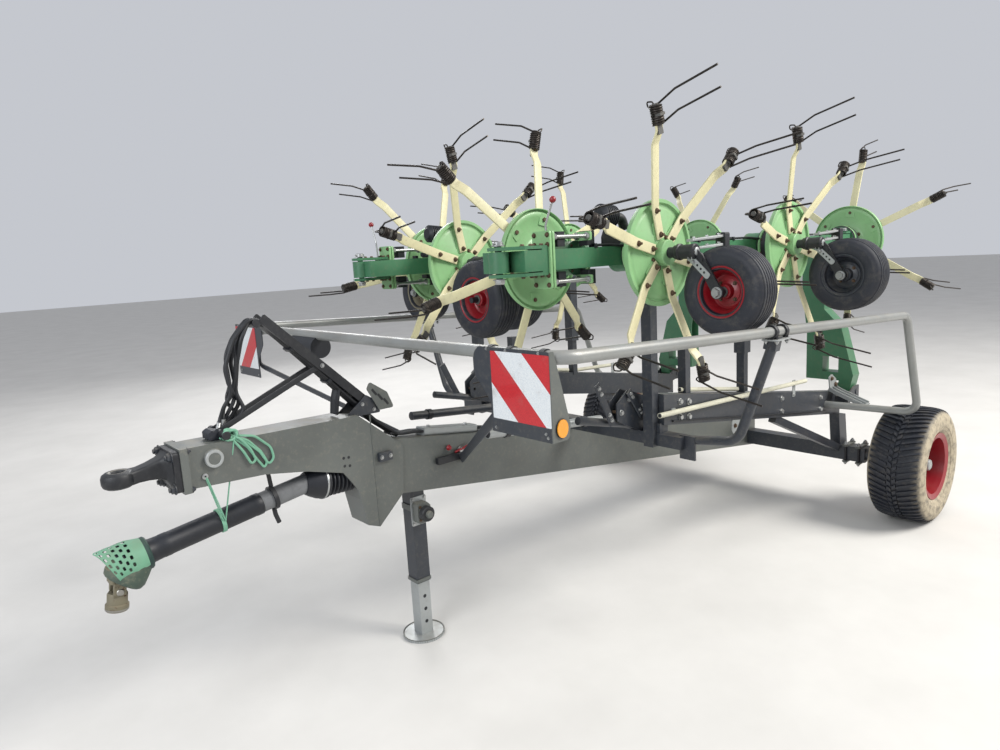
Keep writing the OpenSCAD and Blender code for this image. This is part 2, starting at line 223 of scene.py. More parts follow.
def hazard_paint():
    """Red and white slanted stripes of a warning board, on its own plane."""
    pitch = 0.272
    start = 2.404
    n = Nodes("hazard stripes")
    split = n.node("SeparateXYZ", n.coords)
    slant = n.math("ADD", n.math("ABSOLUTE", split.outputs[1]), split.outputs[2])
    cycle = n.math("FRACT", n.math("DIVIDE", n.math("SUBTRACT", slant, start), pitch))
    cells = n.node("TexVoronoi", n.coords, Scale=420.0).outputs[0]
    glints = n.ramp(cells, 0.2, 0.7)
    white = n.mix(glints, linear(226, 228, 226), linear(196, 202, 206))
    red = n.mix(glints, linear(200, 32, 40), linear(168, 22, 32))
    colour = n.mix(n.math("GREATER_THAN", cycle, 0.5), white, red)
    grime = n.ramp(n.noise(14.0, 8.0, 0.7), 0.56, 0.8)
    colour = n.mix(n.times(grime, 0.5), colour, linear(120, 104, 92))
    scratch = n.ramp(n.noise(30.0, 6.0, 0.8, (1.0, 1.0, 6.0)), 0.70, 0.74)
    n.bump(cells, 0.1, 0.0006)
    return n.paint(Base_Color=n.mix(scratch, colour, linear(84, 76, 72)), Roughness=0.32, Coat_Weight=0.4)


def tyre_rubber(name, bloom, wall_bloom=0.0):
    """Bluish black rubber with a beige bloom in patches, heavier on the transport tyres' walls."""
    n = Nodes(name)
    worn = n.ramp(n.noise(7.0, 6.0, 0.65), 0.35, 0.7)
    colour = n.mix(worn, linear(22, 26, 36), linear(36, 39, 47))
    dust = n.times(n.ramp(n.noise(18.0, 8.0, 0.75), 0.50, 0.74), bloom)
    if wall_bloom:
        from_axle = n.node("VectorMath", n.coords, (AXLE_X * MM, 0.0, AXLE_Z * MM), operation="SUBTRACT")
        flat = n.node("VectorMath", from_axle.outputs[0], (1.0, 0.0, 1.0), operation="MULTIPLY")
        reach = n.node("VectorMath", flat.outputs[0], operation="LENGTH").outputs[1]
        wall = n.ramp(reach, 0.352, 0.375, (1.0, 0.0))
        streaks = n.ramp(n.noise(26.0, 6.0, 0.7), 0.22, 0.55)
        dust = n.math("MAXIMUM", dust, n.times(n.times(wall, streaks), wall_bloom))
    colour = n.mix(dust, colour, linear(182, 170, 146))
    speck = n.times(n.ramp(n.noise(160.0, 4.0, 0.8), 0.58, 0.7), bloom * 0.5)
    n.bump(n.noise(420.0, 4.0, 0.7), 0.25)
    return n.paint(Base_Color=n.mix(speck, colour, linear(150, 140, 122)),
                   Roughness=n.math("ADD", n.times(dust, 0.25), 0.58))


def floor_paint():
    """The plain pale floor."""
    n = Nodes("floor")
    colour = n.mix(n.ramp(n.noise(1.5), 0.3, 0.7), linear(205, 203, 199), linear(196, 194, 190))
    return n.paint(Base_Color=colour, Roughness=0.9)


# The light green below is the green paint of the next line made lighter: painted sunlight on the discs,
# pads, collars, flanges, lugs and ribs.
SUNLIT_GREEN = surface("green paint with painted sunlight", (136, 184, 128), 0.42, coat=0.15, dirt=0.45, rust=0.25)
DARK_GREEN = surface("green paint", (60, 115, 81), 0.42, coat=0.15, dirt=0.55, rust=0.2)
IVORY = surface("ivory paint", (214, 208, 168), 0.45, dirt=0.5, rust=0.45, dirt_colour=(120, 104, 80))
# The dark paint below is the chassis paint made much darker: painted shade, for the frame, axle, jack tube,
# braces, struts and fittings.
CHASSIS = surface("chassis paint", (92, 96, 93), 0.42, coat=0.1, dirt=0.5, dirt_colour=(150, 142, 124))
SHADED_PAINT = surface("chassis paint in painted shade", (44, 49, 57), 0.42, coat=0.1, dirt=0.45, dirt_colour=(140, 132, 116))
RAIL = surface("rail paint", (146, 148, 146), 0.36, metal=0.25, dirt=0.4, rust=0.12)
RED = surface("red paint", (136, 8, 24), 0.4, coat=0.2, dirt=0.12, rust=0.12, dirt_colour=(120, 84, 72))
BLACK = surface("black paint", (24, 26, 31), 0.45, dirt=0.4, rust=0.12, dirt_colour=(92, 92, 90))
PLASTIC = surface("black plastic", (20, 23, 30), 0.48, dirt=0.25, dirt_colour=(70, 74, 82), grain=600.0)
HOSE = surface("hose rubber", (17, 19, 24), 0.45, dirt=0.2, dirt_colour=(78, 80, 84), grain=500.0)
SPRING = surface("spring steel", (52, 48, 46), 0.42, metal=0.7, dirt=0.3, rust=0.55)
ZINC = surface("zinc", (176, 178, 178), 0.34, metal=0.85, dirt=0.35, rust=0.25)
BOLT = surface("rusty bolt", (96, 78, 62), 0.55, metal=0.5, dirt=0.3, rust=0.8)
CAST = surface("cast iron", (92, 92, 90), 0.6, metal=0.5, dirt=0.5, rust=0.5, grain_depth=0.4)
STEEL = surface("bare steel", (156, 154, 148), 0.35, metal=0.9, dirt=0.45, rust=0.4)
HAZARD = hazard_paint()
RUBBER = tyre_rubber("dusty rubber", 0.10, 0.85)
SMOOTH_RUBBER = tyre_rubber("cleaner rubber", 0.10)
TEAL = surface("dark green cone", (22, 52, 48), 0.5, dirt=0.3, dirt_colour=(96, 110, 96))
NET = surface("green net", (104, 156, 128), 0.6, dirt=0.35)
OLD_CONE = surface("worn cone", (62, 78, 68), 0.6, dirt=0.9, dirt_colour=(150, 146, 122), patch=14.0)
TWINE = surface("green twine", (120, 176, 148), 0.75, dirt=0.4, grain=900.0, grain_depth=0.5)
CLUTCH = surface("clutch casting", (124, 118, 98), 0.6, metal=0.3, dirt=0.6, rust=0.7)
AMBER = surface("amber lens", (230, 150, 0), 0.2, coat=0.6, dirt=0.1)
PALE = surface("pale sheet metal", (168, 172, 172), 0.4, metal=0.4, dirt=0.4)
GUARD_WORN = surface("worn guard", (112, 114, 116), 0.5, dirt=0.7, dirt_colour=(44, 44, 46))
PIPE = surface("pale pipe", (206, 204, 184), 0.4, dirt=0.5)


# Outlines

def soften(points, radius, steps=6, closed=False, share=0.48):
    """Turns a line's corners into arcs of about the given radius, or of one radius for each corner."""
    points = [Vector(p) for p in points]
    count = len(points)
    result = []
    for i, here in enumerate(points):
        r = radius[i] if isinstance(radius, tuple) else radius
        back = points[i - 1] - here
        ahead = points[(i + 1) % count] - here
        if not closed and (i in (0, count - 1) or back.angle(ahead) > math.radians(178)):
            result.append(here)
            continue
        cut = min(r / math.tan(back.angle(ahead) / 2.0), share * back.length, share * ahead.length)
        start = here + back.normalized() * cut
        end = here + ahead.normalized() * cut
        for k in range(steps + 1):
            t = k / steps
            result.append(start * (1 - t) ** 2 + here * 2 * t * (1 - t) + end * t ** 2)
    return result


def rounded(corners, radius, steps=5):
    """A closed outline with its corners rounded."""
    return [tuple(p) for p in soften(corners, radius, steps, True, 0.49)]


def rect(x0, y0, x1, y1, radius, steps=5):
    """A rounded rectangle between two corners."""
    return rounded([(x0, y0), (x1, y0), (x1, y1), (x0, y1)], radius, steps)


def ring(inner, outer, low, high):
    """The profile of a plain ring, for a lathe."""
    return [(inner, low), (outer, low), (outer, high), (inner, high), (inner, low)]


def puck(radius, low, high):
    """The profile of a plain disc, for a lathe."""
    return [(0, low), (radius, low), (radius, high), (0, high)]


def mirrored(half):
    """A closed profile from the half of it that lies below the middle."""
    return half + [(r, -z) for r, z in reversed(half)] + half[:1]


def circle(radius, count=16):
    """Points round a circle."""
    turns = [2 * math.pi * k / count for k in range(count)]
    return [(radius * math.cos(turn), radius * math.sin(turn)) for turn in turns]


def beam_section(width, height, radius=10):
    """The rounded outline of a box beam."""
    return rect(-width / 2, -height / 2, width / 2, height / 2, radius, 3)


# Shapes, each as its vertices and its faces

def band(start, there, count):
    """Faces between two closed rows of vertices that start at the given numbers."""
    return [(start + k, start + (k + 1) % count, there + (k + 1) % count, there + k)
            for k in range(count)]


def prism(outline, low, high):
    """A plate with a counter-clockwise outline in X-Y, between two heights."""
    count = len(outline)
    vertices = [(x, y, z) for z in (low, high) for x, y in outline]
    ends = [tuple(reversed(range(count))), tuple(range(count, 2 * count))]
    return vertices, ends + band(0, count, count)


def lathe(profile, count=48):
    """A turned shape round Z from (radius, height) points; a closed profile needs its first point last."""
    vertices = []
    faces = []
    size = len(profile)
    for k in range(count):
        turn = 2 * math.pi * k / count
        vertices += [(r * math.cos(turn), r * math.sin(turn), z) for r, z in profile]
        here = k * size
        there = ((k + 1) % count) * size
        for i in range(size - 1):
            if profile[i][0] == 0:
                faces.append((here + i, there + i + 1, here + i + 1))
            elif profile[i + 1][0] == 0:
                faces.append((here + i, there + i, here + i + 1))
            else:
                faces.append((here + i, there + i, there + i + 1, here + i + 1))
    return weld(vertices, faces)


def weld(vertices, faces):
    """Joins vertices that lie together and drops faces that this leaves flat."""
    seen = {}
    kept = []
    index = []
    for v in vertices:
        key = tuple(round(part, 4) for part in v)
        if key not in seen:
            seen[key] = len(kept)
            kept.append(v)
        index.append(seen[key])
    joined = [tuple(dict.fromkeys(index[i] for i in face)) for face in faces]
    return kept, [face for face in joined if len(face) > 2]


def sweep(points, section, up=UP):
    """Pulls a closed section along a line of points; the section's Y keeps near to up."""
    points = [Vector(p) for p in points]
    last = len(points) - 1
    size = len(section)
    vertices = []
    faces = []
    y = Vector(up)
    for i, here in enumerate(points):
        along = (points[min(i + 1, last)] - points[max(i - 1, 0)]).normalized()
        y = y - along * y.dot(along)
        if y.length < 1e-5:
            y = Vector(AHEAD) - along * along.x
        y.normalize()
        x = y.cross(along)
        vertices += [here + x * u + y * v for u, v in section]
        if i < last:
            faces += band(i * size, (i + 1) * size, size)
    faces.append(tuple(reversed(range(size))))
    faces.append(tuple(last * size + k for k in range(size)))
    return vertices, faces


def tube(points, radius, sides=16):
    """A round bar along points."""
    return sweep(points, circle(radius, sides))


def hex_prism(flats, low, high):
    """A hexagonal head or nut with its corners taken off at the top."""
    r = flats / math.sqrt(3.0)
    rows = ((r, low), (r, high - 0.12 * flats), (r * 0.88, high))
    vertices = [(radius * math.cos(math.pi * k / 3), radius * math.sin(math.pi * k / 3), z)
                for radius, z in rows for k in range(6)]
    return vertices, band(0, 6, 6) + band(6, 12, 6) + [tuple(range(12, 18)), tuple(reversed(range(6)))]


def counter_clockwise(outline):
    """The outline, turned round if it runs clockwise."""
    area = sum(outline[i - 1][0] * p[1] - p[0] * outline[i - 1][1] for i, p in enumerate(outline))
    return outline if area >= 0.0 else list(reversed(outline))


def frame_at(origin, z_axis, x_hint=UP):
    """A matrix with its origin and Z axis as given, and X as near to x_hint as it can be."""
    z = Vector(z_axis).normalized()
    x = Vector(x_hint) - z * Vector(x_hint).dot(z)
    if x.length < 1e-6:
        x = Vector(AHEAD) - z * z.x
    x.normalize()
    made = Matrix((x, z.cross(x), z)).transposed().to_4x4()
    made.translation = Vector(origin)
    return made


def along(start, end):
    """A frame at start whose Z points to end, and the distance between them."""
    return frame_at(start, end - start), (end - start).length


def turned(matrix, degrees):
    """The frame turned about its own Z."""
    return matrix @ Matrix.Rotation(math.radians(degrees), 4, "Z")


def rotor_frame(name):
    """A rotor's frame: Z along its axis towards the beam, X down as it is folded."""
    return frame_at(*joint("rotor_%s_spin" % name), DOWN)


class Piece:
    """Collects faces for one object; every shape is added in its place, with a material of its own."""

    def __init__(self, name, *materials):
        self.name = name
        self.materials = list(materials)
        self.vertices = []
        self.faces = []
        self.slots = []

    def add(self, vertices, faces, place=None, material=None):
        """Adds a shape; place is a matrix, and material one that the piece has or gets."""
        material = material or self.materials[0]
        if material not in self.materials:
            self.materials.append(material)
        start = len(self.vertices)
        place = place or Matrix()
        self.vertices.extend(place @ Vector(v) * MM for v in vertices)
        self.faces.extend(tuple(start + i for i in face) for face in faces)
        self.slots.extend([self.materials.index(material)] * len(faces))

    def lathe(self, place, profile, count, material=None):
        """Adds a turned shape."""
        self.add(*lathe(profile, count), place, material)

    def prism(self, place, outline, low, high, material=None):
        """Adds a plate."""
        self.add(*prism(outline, low, high), place, material)

    def nut(self, place, flats, low, high, material=None):
        """Adds a hexagonal nut."""
        self.add(*hex_prism(flats, low, high), place, material)

    def tube(self, points, radius, sides, material):
        """Adds a round bar along points."""
        self.add(*tube(points, radius, sides), material=material)

    def bar(self, points, width, height, radius, material, up=UP):
        """Adds a flat bar or box beam along points."""
        self.add(*sweep(points, beam_section(width, height, radius), up), material=material)

    def bolt(self, origin, axis, size=12, material=None, tail=0):
        """Adds a bolt's head and washer, facing axis; with a tail, a nut whose thread stands out by it."""
        place = frame_at(origin, axis)
        material = material or BOLT
        self.lathe(place, puck(size * 1.15, 0, size * 0.18), 16, material)
        self.nut(place, size * 1.55, size * 0.18, size * 0.85, material)
        if tail:
            thread = [(0, size * 0.5), (size * 0.5, size * 0.5), (size * 0.5, size * 0.85 + tail * 0.9),
                      (size * 0.4, size * 0.85 + tail), (0, size * 0.85 + tail)]
            self.lathe(place, thread, 12, material)

    def bolt_in(self, place, spot, size, material=None, tail=0, way=1):
        """Adds a bolt at a spot of a frame, its head along the frame's Z, or against it with way -1."""
        self.bolt(place @ Vector(spot), way * place.col[2].xyz, size, material, tail)

    def side_plate(self, outline, y, thickness, material=None):
        """Adds a plate with its outline in stations and heights, standing in the X-Z plane at y."""
        place = Matrix.Translation(A(0, y, 0)) @ ON_SIDE
        self.prism(place, counter_clockwise(outline), -thickness / 2, thickness / 2, material)

    def cross_plate(self, outline, x, thickness, material=None):
        """Adds a plate with its outline in Y and Z, standing across the machine at station x."""
        place = Matrix.Translation(A(x, 0, 0)) @ Matrix(((0, 0, 1), (1, 0, 0), (0, 1, 0))).to_4x4()
        self.prism(place, counter_clockwise(outline), -thickness / 2, thickness / 2, material)

    def done(self, body, slot, *replaces):
        """Turns the collected faces into an object that rides on a body and may replace CAD nodes."""
        mesh = bpy.data.meshes.new(self.name)
        mesh.from_pydata(self.vertices, [], self.faces)
        for material in self.materials:
            mesh.materials.append(material)
        mesh.polygons.foreach_set("material_index", self.slots)
        mesh.polygons.foreach_set("use_smooth", [True] * len(self.faces))
        mesh.update()
        mesh.set_sharp_from_angle(angle=SHARP)
        made = place_in_scene(bpy.data.objects.new(self.name, mesh))
        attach(made, body)
        if replaces:
            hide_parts(*replaces)
        return made


def dress(material, *nodes, bevel=0):
    """Gives CAD nodes a material, and rounds their edges a little."""
    for node in nodes:
        made = frame["nodes"][node]
        if not made.material_slots:
            made.data.materials.append(material)
        for held in made.material_slots:
            held.link = "OBJECT"
            held.material = material
        if bevel:
            rounding = made.modifiers.new("rounding", "BEVEL")
            rounding.width = bevel * MM
            rounding.segments = 2
            rounding.limit_method = "ANGLE"
            rounding.angle_limit = math.radians(50)
            rounding.harden_normals = True


# Rotors

COIL_R = 24.25
WIRE_R = 4.75
COIL_Z = -120
TINE_R = 612
COIL_TURNS = 4
COIL_PITCH = 9.8
DISC_PROFILE = [(25.3, 58), (57, 58), (60, 55), (60, 27), (63, 23), (84, 20), (92, 16), (106, 8),
                (114, 6), (200, 9), (209, 12), (226, 12), (231, 10), (236.5, 1), (243, 1), (244.2, 14),
                (246, 17.5), (248.2, 17.8), (250, 15), (250, -6), (248, -8), (233, -8), (229.5, -3),
                (226, 3), (216, 3.5), (207, 0), (200, -2), (112, -8), (100, -12), (60, -13), (60, -52),
                (57, -55), (25.3, -55), (25.3, 58)]


def build_disc(name):
    """The pressed disc with its hub, hub bolts and the bolts of the tine arms."""
    piece = Piece("rotor_disc_" + name, SUNLIT_GREEN, DARK_GREEN, BOLT, CAST)
    place = rotor_frame(name)
    piece.lathe(place, DISC_PROFILE, 96)
    seal = [(25.6, 58.5), (46, 58.5), (48, 60), (48, 64), (44, 66), (25.6, 66), (25.6, 58.5)]
    piece.lathe(place, seal, 40, BLACK)
    for k in range(8):
        spot = turned(place, 22.5 + 45 * k)
        piece.bolt_in(spot, (75, 0, 20.5), 10)
        piece.bolt_in(spot, (78, 0, -12.5), 10, way=-1)
    for k in range(ARM_COUNT):
        spot = turned(place, FIRST_ARM[name] + 60 * k)
        for r, z in ((88, 17), (200, 9.5)):
            piece.bolt_in(spot, (r, 0, z), 12.5, BOLT)
        pad = rounded([(168, -34), (228, -26), (228, 26), (168, 34)], 8)
        piece.prism(spot, pad, 8.5, 12.5, SUNLIT_GREEN)
        web = rounded([(66, -36), (150, -30), (150, 30), (66, 36)], 10)
        piece.prism(spot, web, -14.5, -8, SUNLIT_GREEN)
    piece.done("rotor_" + name, "disc_paint", "disc_" + name)


def tine_wire():
    """The line of one double tine: leg, coil, bridge, coil, leg."""
    lower = math.radians(13)
    upper = math.radians(25)
    half = 42.75

    def leg(r):
        start = Vector((r, COIL_R, COIL_Z))
        bend = start + Vector((math.sin(upper), 0, -math.cos(upper))) * 100
        tip = bend + Vector((math.sin(lower), 0, -math.cos(lower))) * 215
        return soften([tip, bend, start], 50, 5)

    def coil(r, towards):
        points = []
        steps = 14
        for k in range(COIL_TURNS * steps + steps // 2 + 1):
            turn = 2 * math.pi * k / steps
            advance = towards * COIL_PITCH * 0.94 * k / steps
            points.append(Vector((r + advance, COIL_R * math.cos(turn), COIL_Z + COIL_R * math.sin(turn))))
        return points

    outer = coil(TINE_R + half, -1)
    inner = coil(TINE_R - half, 1)
    first = leg(TINE_R + half)
    last = leg(TINE_R - half)
    middle = [(outer[-1] + inner[-1]) / 2 + Vector((0, -3, 0))]
    return first[:-1] + outer + middle + list(reversed(inner)) + list(reversed(last[:-1]))


def build_tines(name):
    """Six arms with their double spring tines."""
    arms = Piece("tine_arms_" + name, IVORY, CAST, BOLT, SPRING)
    tines = Piece("spring_tines_" + name, SPRING)
    place = rotor_frame(name)
    line = soften([(70, 0, -20), (215, 0, -22.5), (495, 0, -83.5), (545, 0, -118), (590, 0, -121)], 45, 7)
    wire_mesh = sweep(tine_wire(), circle(WIRE_R, 8), up=LEFT)
    for k in range(ARM_COUNT):
        spot = turned(place, FIRST_ARM[name] + 60 * k)
        arms.add(*sweep(line, rect(-25, -5, 25, 5, 3.5, 3)), spot)
        for r, z in ((88, -15.5), (200, -16.5)):
            down = spot @ Vector((r, 0, z - 10))
            arms.bolt(down, -spot.col[2].xyz, 12, BOLT, 10)
        holder = rounded([(530, -18), (602, -16), (640, -12), (640, 12), (602, 16), (530, 18)], 6)
        arms.prism(spot, holder, COIL_Z - 6, COIL_Z + 6, CAST)
        core = [(0, -46), (13, -46), (14.5, -43), (14.5, 43), (13, 46), (0, 46)]
        arms.lathe(spot @ frame_at((TINE_R, 0, COIL_Z), AHEAD), core, 20, CAST)
        clamp = rounded([(-19, -30), (19, -30), (22, 0), (19, 12), (-19, 12), (-22, 0)], 5)
        turn = spot @ frame_at((TINE_R, 0, COIL_Z), AHEAD, LEFT)
        arms.prism(turn, clamp, -6, 6, CAST)
        arms.bolt_in(spot, (572, 0, COIL_Z + 6), 11, BOLT)
        hook = soften([(648, -10, COIL_Z), (668, -10, COIL_Z + 4), (672, -6, COIL_Z + 36),
                       (652, 6, COIL_Z + 44), (638, 10, COIL_Z + 30)], 12, 5)
        arms.add(*sweep(hook, circle(3.5, 8), up=LEFT), spot, SPRING)
        tines.add(*wire_mesh, spot)
    arms.done("rotor_" + name, "disc_paint", "tines_" + name)
    tines.done("rotor_" + name, "spring_steel", "tines_" + name)


for rotor in ROTORS:
    build_disc(rotor)
    build_tines(rotor)


# Rotor wheels

def build_rotor_wheel(name):
    """A small wheel: ribbed tyre, dished rim with flanges, hub and grease cap."""
    place = frame_at(*joint("rotor_wheel_%s_spin" % name))
    tyre = Piece("gauge_tyre_" + name, SMOOTH_RUBBER)
    side = [(98, -58), (103, -73), (112, -75.5), (121, -76.5), (124, -79.5), (130, -80.5), (146, -82.5),
            (152, -81.5), (160, -82.5), (172, -81.5), (184, -77), (193, -69), (199, -60)]
    tread = []
    ribs = 6
    pitch = 112 / ribs
    for k in range(ribs):
        z = -56 + pitch * k
        crown = ROTOR_TYRE_R - 0.0009 * (z + pitch / 2) ** 2
        tread += [(crown - 6, z + 1.5), (crown, z + 4), (crown, z + pitch - 4),
                  (crown - 6, z + pitch - 1.5)]
    other = [(r, -z) for r, z in reversed(side)]
    tyre.lathe(place, side + tread + other + side[:1], 72)
    tyre.done("rotor_wheel_" + name, "rubber_tyre", "rotor_wheel_" + name)
    paint = {"l2": SHADED_PAINT, "r1": SHADED_PAINT, "r3": CLUTCH}.get(name, RED)
    rim = Piece("gauge_rim_" + name, paint, CAST, BOLT)
    half = [(36, -12), (44, -8), (70, -8), (78, -14), (86, -38), (92, -50), (98, -58), (104, -70),
            (112, -77.5), (117, -77.8), (118.5, -75), (113, -72), (106, -66), (101, -54)]
    rim.lathe(place, mirrored(half), 56)
    hub = [(15.5, -52), (30, -52), (34, -48), (36, -20), (48, -14), (60, -13)]
    rim.lathe(place, mirrored(hub), 40, paint)
    for s in (-1, 1):
        cap = frame_at(place @ Vector((0, 0, s * 52)), s * place.col[2].xyz)
        rim.lathe(cap, [(16, -2), (24, -2), (24, 4), (16, 5)], 28, CAST)
    for k in range(4):
        spot = turned(place, 45 + 90 * k)
        for s in (-1, 1):
            rim.bolt_in(spot, (50, 0, s * 13.5), 9, way=s)
    rim.done("rotor_wheel_" + name, "red_paint", "rotor_wheel_" + name)


for rotor in ROTORS:
    build_rotor_wheel(rotor)


# Transport wheels

def tread_radius(z):
    """Radius of the tread's outer skin at a distance from the tyre's middle."""
    z = abs(z)
    if z < 80:
        return TYRE_R - (z / 80) ** 2
    if z < 138:
        return TYRE_R - 1 - 9 * ((z - 80) / 58) ** 1.6
    return TYRE_R - 10 - 52 * ((z - 138) / 30) ** 1.5


def tread_lug(line, width, depth):
    """One tread bar along (turn, sideways) points, standing depth proud of the carcass."""
    vertices = []
    for turn, z in line:
        outer = tread_radius(z)
        for dt, r in ((-1, outer - depth), (-0.8, outer), (0.8, outer), (1, outer - depth)):
            angle = turn + dt * width / (2 * TYRE_R)
            vertices.append((r * math.cos(angle), r * math.sin(angle), z))
    faces = []
    for i in range(len(line) - 1):
        a, b = i * 4, i * 4 + 4
        faces += [(a + k, a + k + 1, b + k + 1, b + k) for k in range(3)]
    faces += [(3, 2, 1, 0), tuple(len(vertices) - 4 + k for k in range(4))]
    if line[-1][1] < line[0][1]:
        faces = [tuple(reversed(face)) for face in faces]
    return vertices, faces


def build_transport_wheel(side, word):
    """A wide tyre with fine shoulder lugs, its rim's nuts and the axle's cap."""
    place = frame_at(A(0, side * HALF_TRACK, AXLE_Z), (0, side, 0), UP)
    tyre = Piece("transport_tyre_" + word, RUBBER)
    deep = 12
    wall = [(206, -130), (222, -141), (232, -146), (238, -152), (246, -155), (262, -163), (266, -163.5),
            (270, -167), (296, -169.5), (300, -168.5), (318, -170), (330, -168.5), (334, -165.5),
            (345, -164), (358, -157), (366, -148)]
    crown = [(tread_radius(z) - deep, z) for z in (-138, -125, -105, -80, -45, -10)]
    tyre.lathe(place, mirrored(wall + crown), 96)
    lugs = 58
    for s in (-1, 1):
        for i in range(lugs):
            turn = 2 * math.pi * (i + (0.5 if s > 0 else 0)) / lugs
            lean = 0.11
            line = [(turn + lean * (1 - z / 120), s * z) for z in (34, 60, 85, 110, 128, 142, 154)]
            tyre.add(*tread_lug(line, 19 if i % 2 else 16, 13), place)
        for i in range(lugs):
            turn = 2 * math.pi * (i + (0 if s > 0 else 0.5)) / lugs
            line = [(turn + 0.05 * (1 - z / 30), s * z) for z in (3, 15, 27)]
            tyre.add(*tread_lug(line, 30, 10), place)
        for r, at in ((252, 158), (312, 168.5)):
            tyre.lathe(place, [(r - s * 3.5, s * at), (r, s * (at + 1.32)), (r + s * 3.5, s * at)], 72)
    tyre.done("transport_wheel_" + word, "rubber_tyre", "tyre_" + word)
    rim = Piece("transport_hub_" + word, RED, ZINC, CAST, BOLT)
    cap = [(40.5, -50), (74, -50), (78, -44), (78, 26), (70, 34), (52, 38), (46, 70), (43, 74), (0, 75)]
    rim.lathe(place, cap, 48, CAST)
    end = [(0, 112), (24, 112), (34, 107), (38, 98), (38, 72), (0, 72)]
    rim.lathe(place, list(reversed(end)), 40, PALE)
    for k in range(6):
        spot = turned(place, 60 * k)
        rim.bolt_in(spot, (102.5, 0, -44.8), 14, ZINC, 12)
    valve = turned(place, 35) @ Vector((176, 0, 40))
    rim.tube([valve, valve + place.col[2].xyz * 35], 4, 8, BLACK)
    rim.done("transport_wheel_" + word, "red_paint")


build_transport_wheel(1, "left")
build_transport_wheel(-1, "right")


# Warning boards

def build_boards():
    """Two striped boards on plates, with pale side flanges, amber reflectors and flat struts; plates and
    struts are in the darkened copy of the chassis paint, which paints shade.
    """
    piece = Piece("warning_boards", HAZARD, SHADED_PAINT, AMBER, BOLT, CHASSIS)
    for side in (1, -1):
        face = rect(1040, 1372, 1327, 1612, 4)
        piece.cross_plate([(side * y, z) for y, z in face], BOARD_X + 5.2, 1.2, HAZARD)
        back = rounded([(1030, 1322), (1327, 1322), (1327, 1624), (975, 1624), (945, 1600), (945, 1520),
                        (1005, 1455), (1030, 1425)], (4, 4, 12, 20, 40, 40, 60, 30))
        piece.cross_plate([(side * y, z) for y, z in back], BOARD_X + 2.6, 4, SHADED_PAINT)
        flange = rounded([(3452, 1322), (3530.5, 1322), (3530.5, 1624), (3512, 1624), (3446, 1372)],
                         (20, 3, 3, 8, 20))
        piece.side_plate(flange, side * 1328.5, 5, CHASSIS)
        spot = frame_at(A(3489, side * 1330.5, 1366), (0, side, 0), UP)
        lens = [(31 * x, 25 * y) for x, y in circle(1, 32)]
        piece.prism(spot, [(x * 1.08, y * 1.10) for x, y in lens], 0, 4, BLACK)
        piece.prism(spot, lens, 2, 7.5, AMBER)
        for y, z in ((1050, 1338), (1310, 1338), (1300, 1350)):
            piece.bolt(A(BOARD_X + 4.5, side * y, z), AHEAD, 5, ZINC)
        strut = soften([A(3512, side * 1045, 1560), A(3516, side * 1060, 1395), A(2960, side * 74, 900)],
                       50, 6)
        piece.bar(strut, 40, 8, 3, SHADED_PAINT, (1, 0, 0.3))
        for y in (1020, 1120, 1280):
            hoop = frame_at(A(3500, side * y, 1600), LEFT)
            piece.lathe(hoop, ring(24.3, 29, -10, 10), 32, BLACK)
            piece.bolt(A(BOARD_X + 4.8, side * y, 1617), AHEAD, 5, ZINC)
    piece.done("chassis", "board", "sign_boards")


build_boards()


# Drive shaft

def perforated_cap(radius_start, radius_end, length, turn_from, turn_to, rows, columns):
    """A thin shell round Z with staggered holes, open below, as a quad mesh with holes left out."""
    fine_u, fine_v = columns * 4, rows * 4
    vertices = []
    for j in range(fine_v + 1):
        v = j / fine_v
        r = radius_start + (radius_end - radius_start) * min(1, v * 3)
        for i in range(fine_u + 1):
            angle = math.radians(turn_from + (turn_to - turn_from) * i / fine_u)
            reach = length * v * (1 - 0.30 * v * abs(i / fine_u - 0.5) * 2)
            vertices.append((r * math.cos(angle), r * math.sin(angle), reach))
    faces = []
    for j in range(fine_v):
        for i in range(fine_u):
            row = j // 4
            column = (i + (2 if row % 2 else 0)) // 4
            u = (i + (2 if row % 2 else 0)) % 4
            w = j % 4
            inside = u in (1, 2) and w in (1, 2) and row > 1 and 0 < column < columns
            if not inside:
                a = j * (fine_u + 1) + i
                faces.append((a, a + 1, a + fine_u + 2, a + fine_u + 1))
    return vertices, faces


def build_bellows():
    """The ribbed bellows at the gearbox end, with a clamp band."""
    boot = Piece("shaft_bellows", PLASTIC, ZINC)
    place, length = along(A(3562, 0, 945), A(3800, 0, 974))
    rings = [(30, 0)]
    ribs = 6
    for k in range(ribs):
        z = 130 * k / ribs
        step = 130 / ribs
        r = 62 + 12 * k / ribs
        rings += [(r - 13, z + 1), (r, z + step * 0.35), (r, z + step * 0.6), (r - 13, z + step * 0.97)]
    rings += [(68, 132), (78, 137), (80, 146), (80, 164), (77, 170), (74, 186), (62, 216), (51, 236),
              (49, length), (40, length)]
    boot.lathe(place, rings, 56)
    boot.lathe(place, [(79.5, 150), (81.5, 152), (81.5, 158), (79.5, 160)], 56, ZINC)
    boot.done("chassis", "black_plastic", "pto_boot")


def build_shaft():
    """The worn inner tube and the guard tube over it."""
    shaft = Piece("drive_shaft", PLASTIC, GUARD_WORN, ZINC)
    place, length = along(A(*GUARD_START), A(*GUARD_END))
    tube_line = [(0, 0), (43, 2), (43.5, 236), (43, 240), (0, 240)]
    shaft.lathe(place, tube_line, 48, GUARD_WORN)
    guard = [(30, 222), (45.5, 222), (47.5, 226), (47.5, 252), (46.2, 256), (46.2, length - 90),
             (47.5, length - 86), (47.5, length - 60), (46.2, length - 56), (48, length - 20),
             (54.5, length - 6), (54.5, length + 6), (30, length + 6)]
    shaft.lathe(place, guard, 48, PLASTIC)
    shaft.done("chassis", "black_plastic", "pto_shaft")


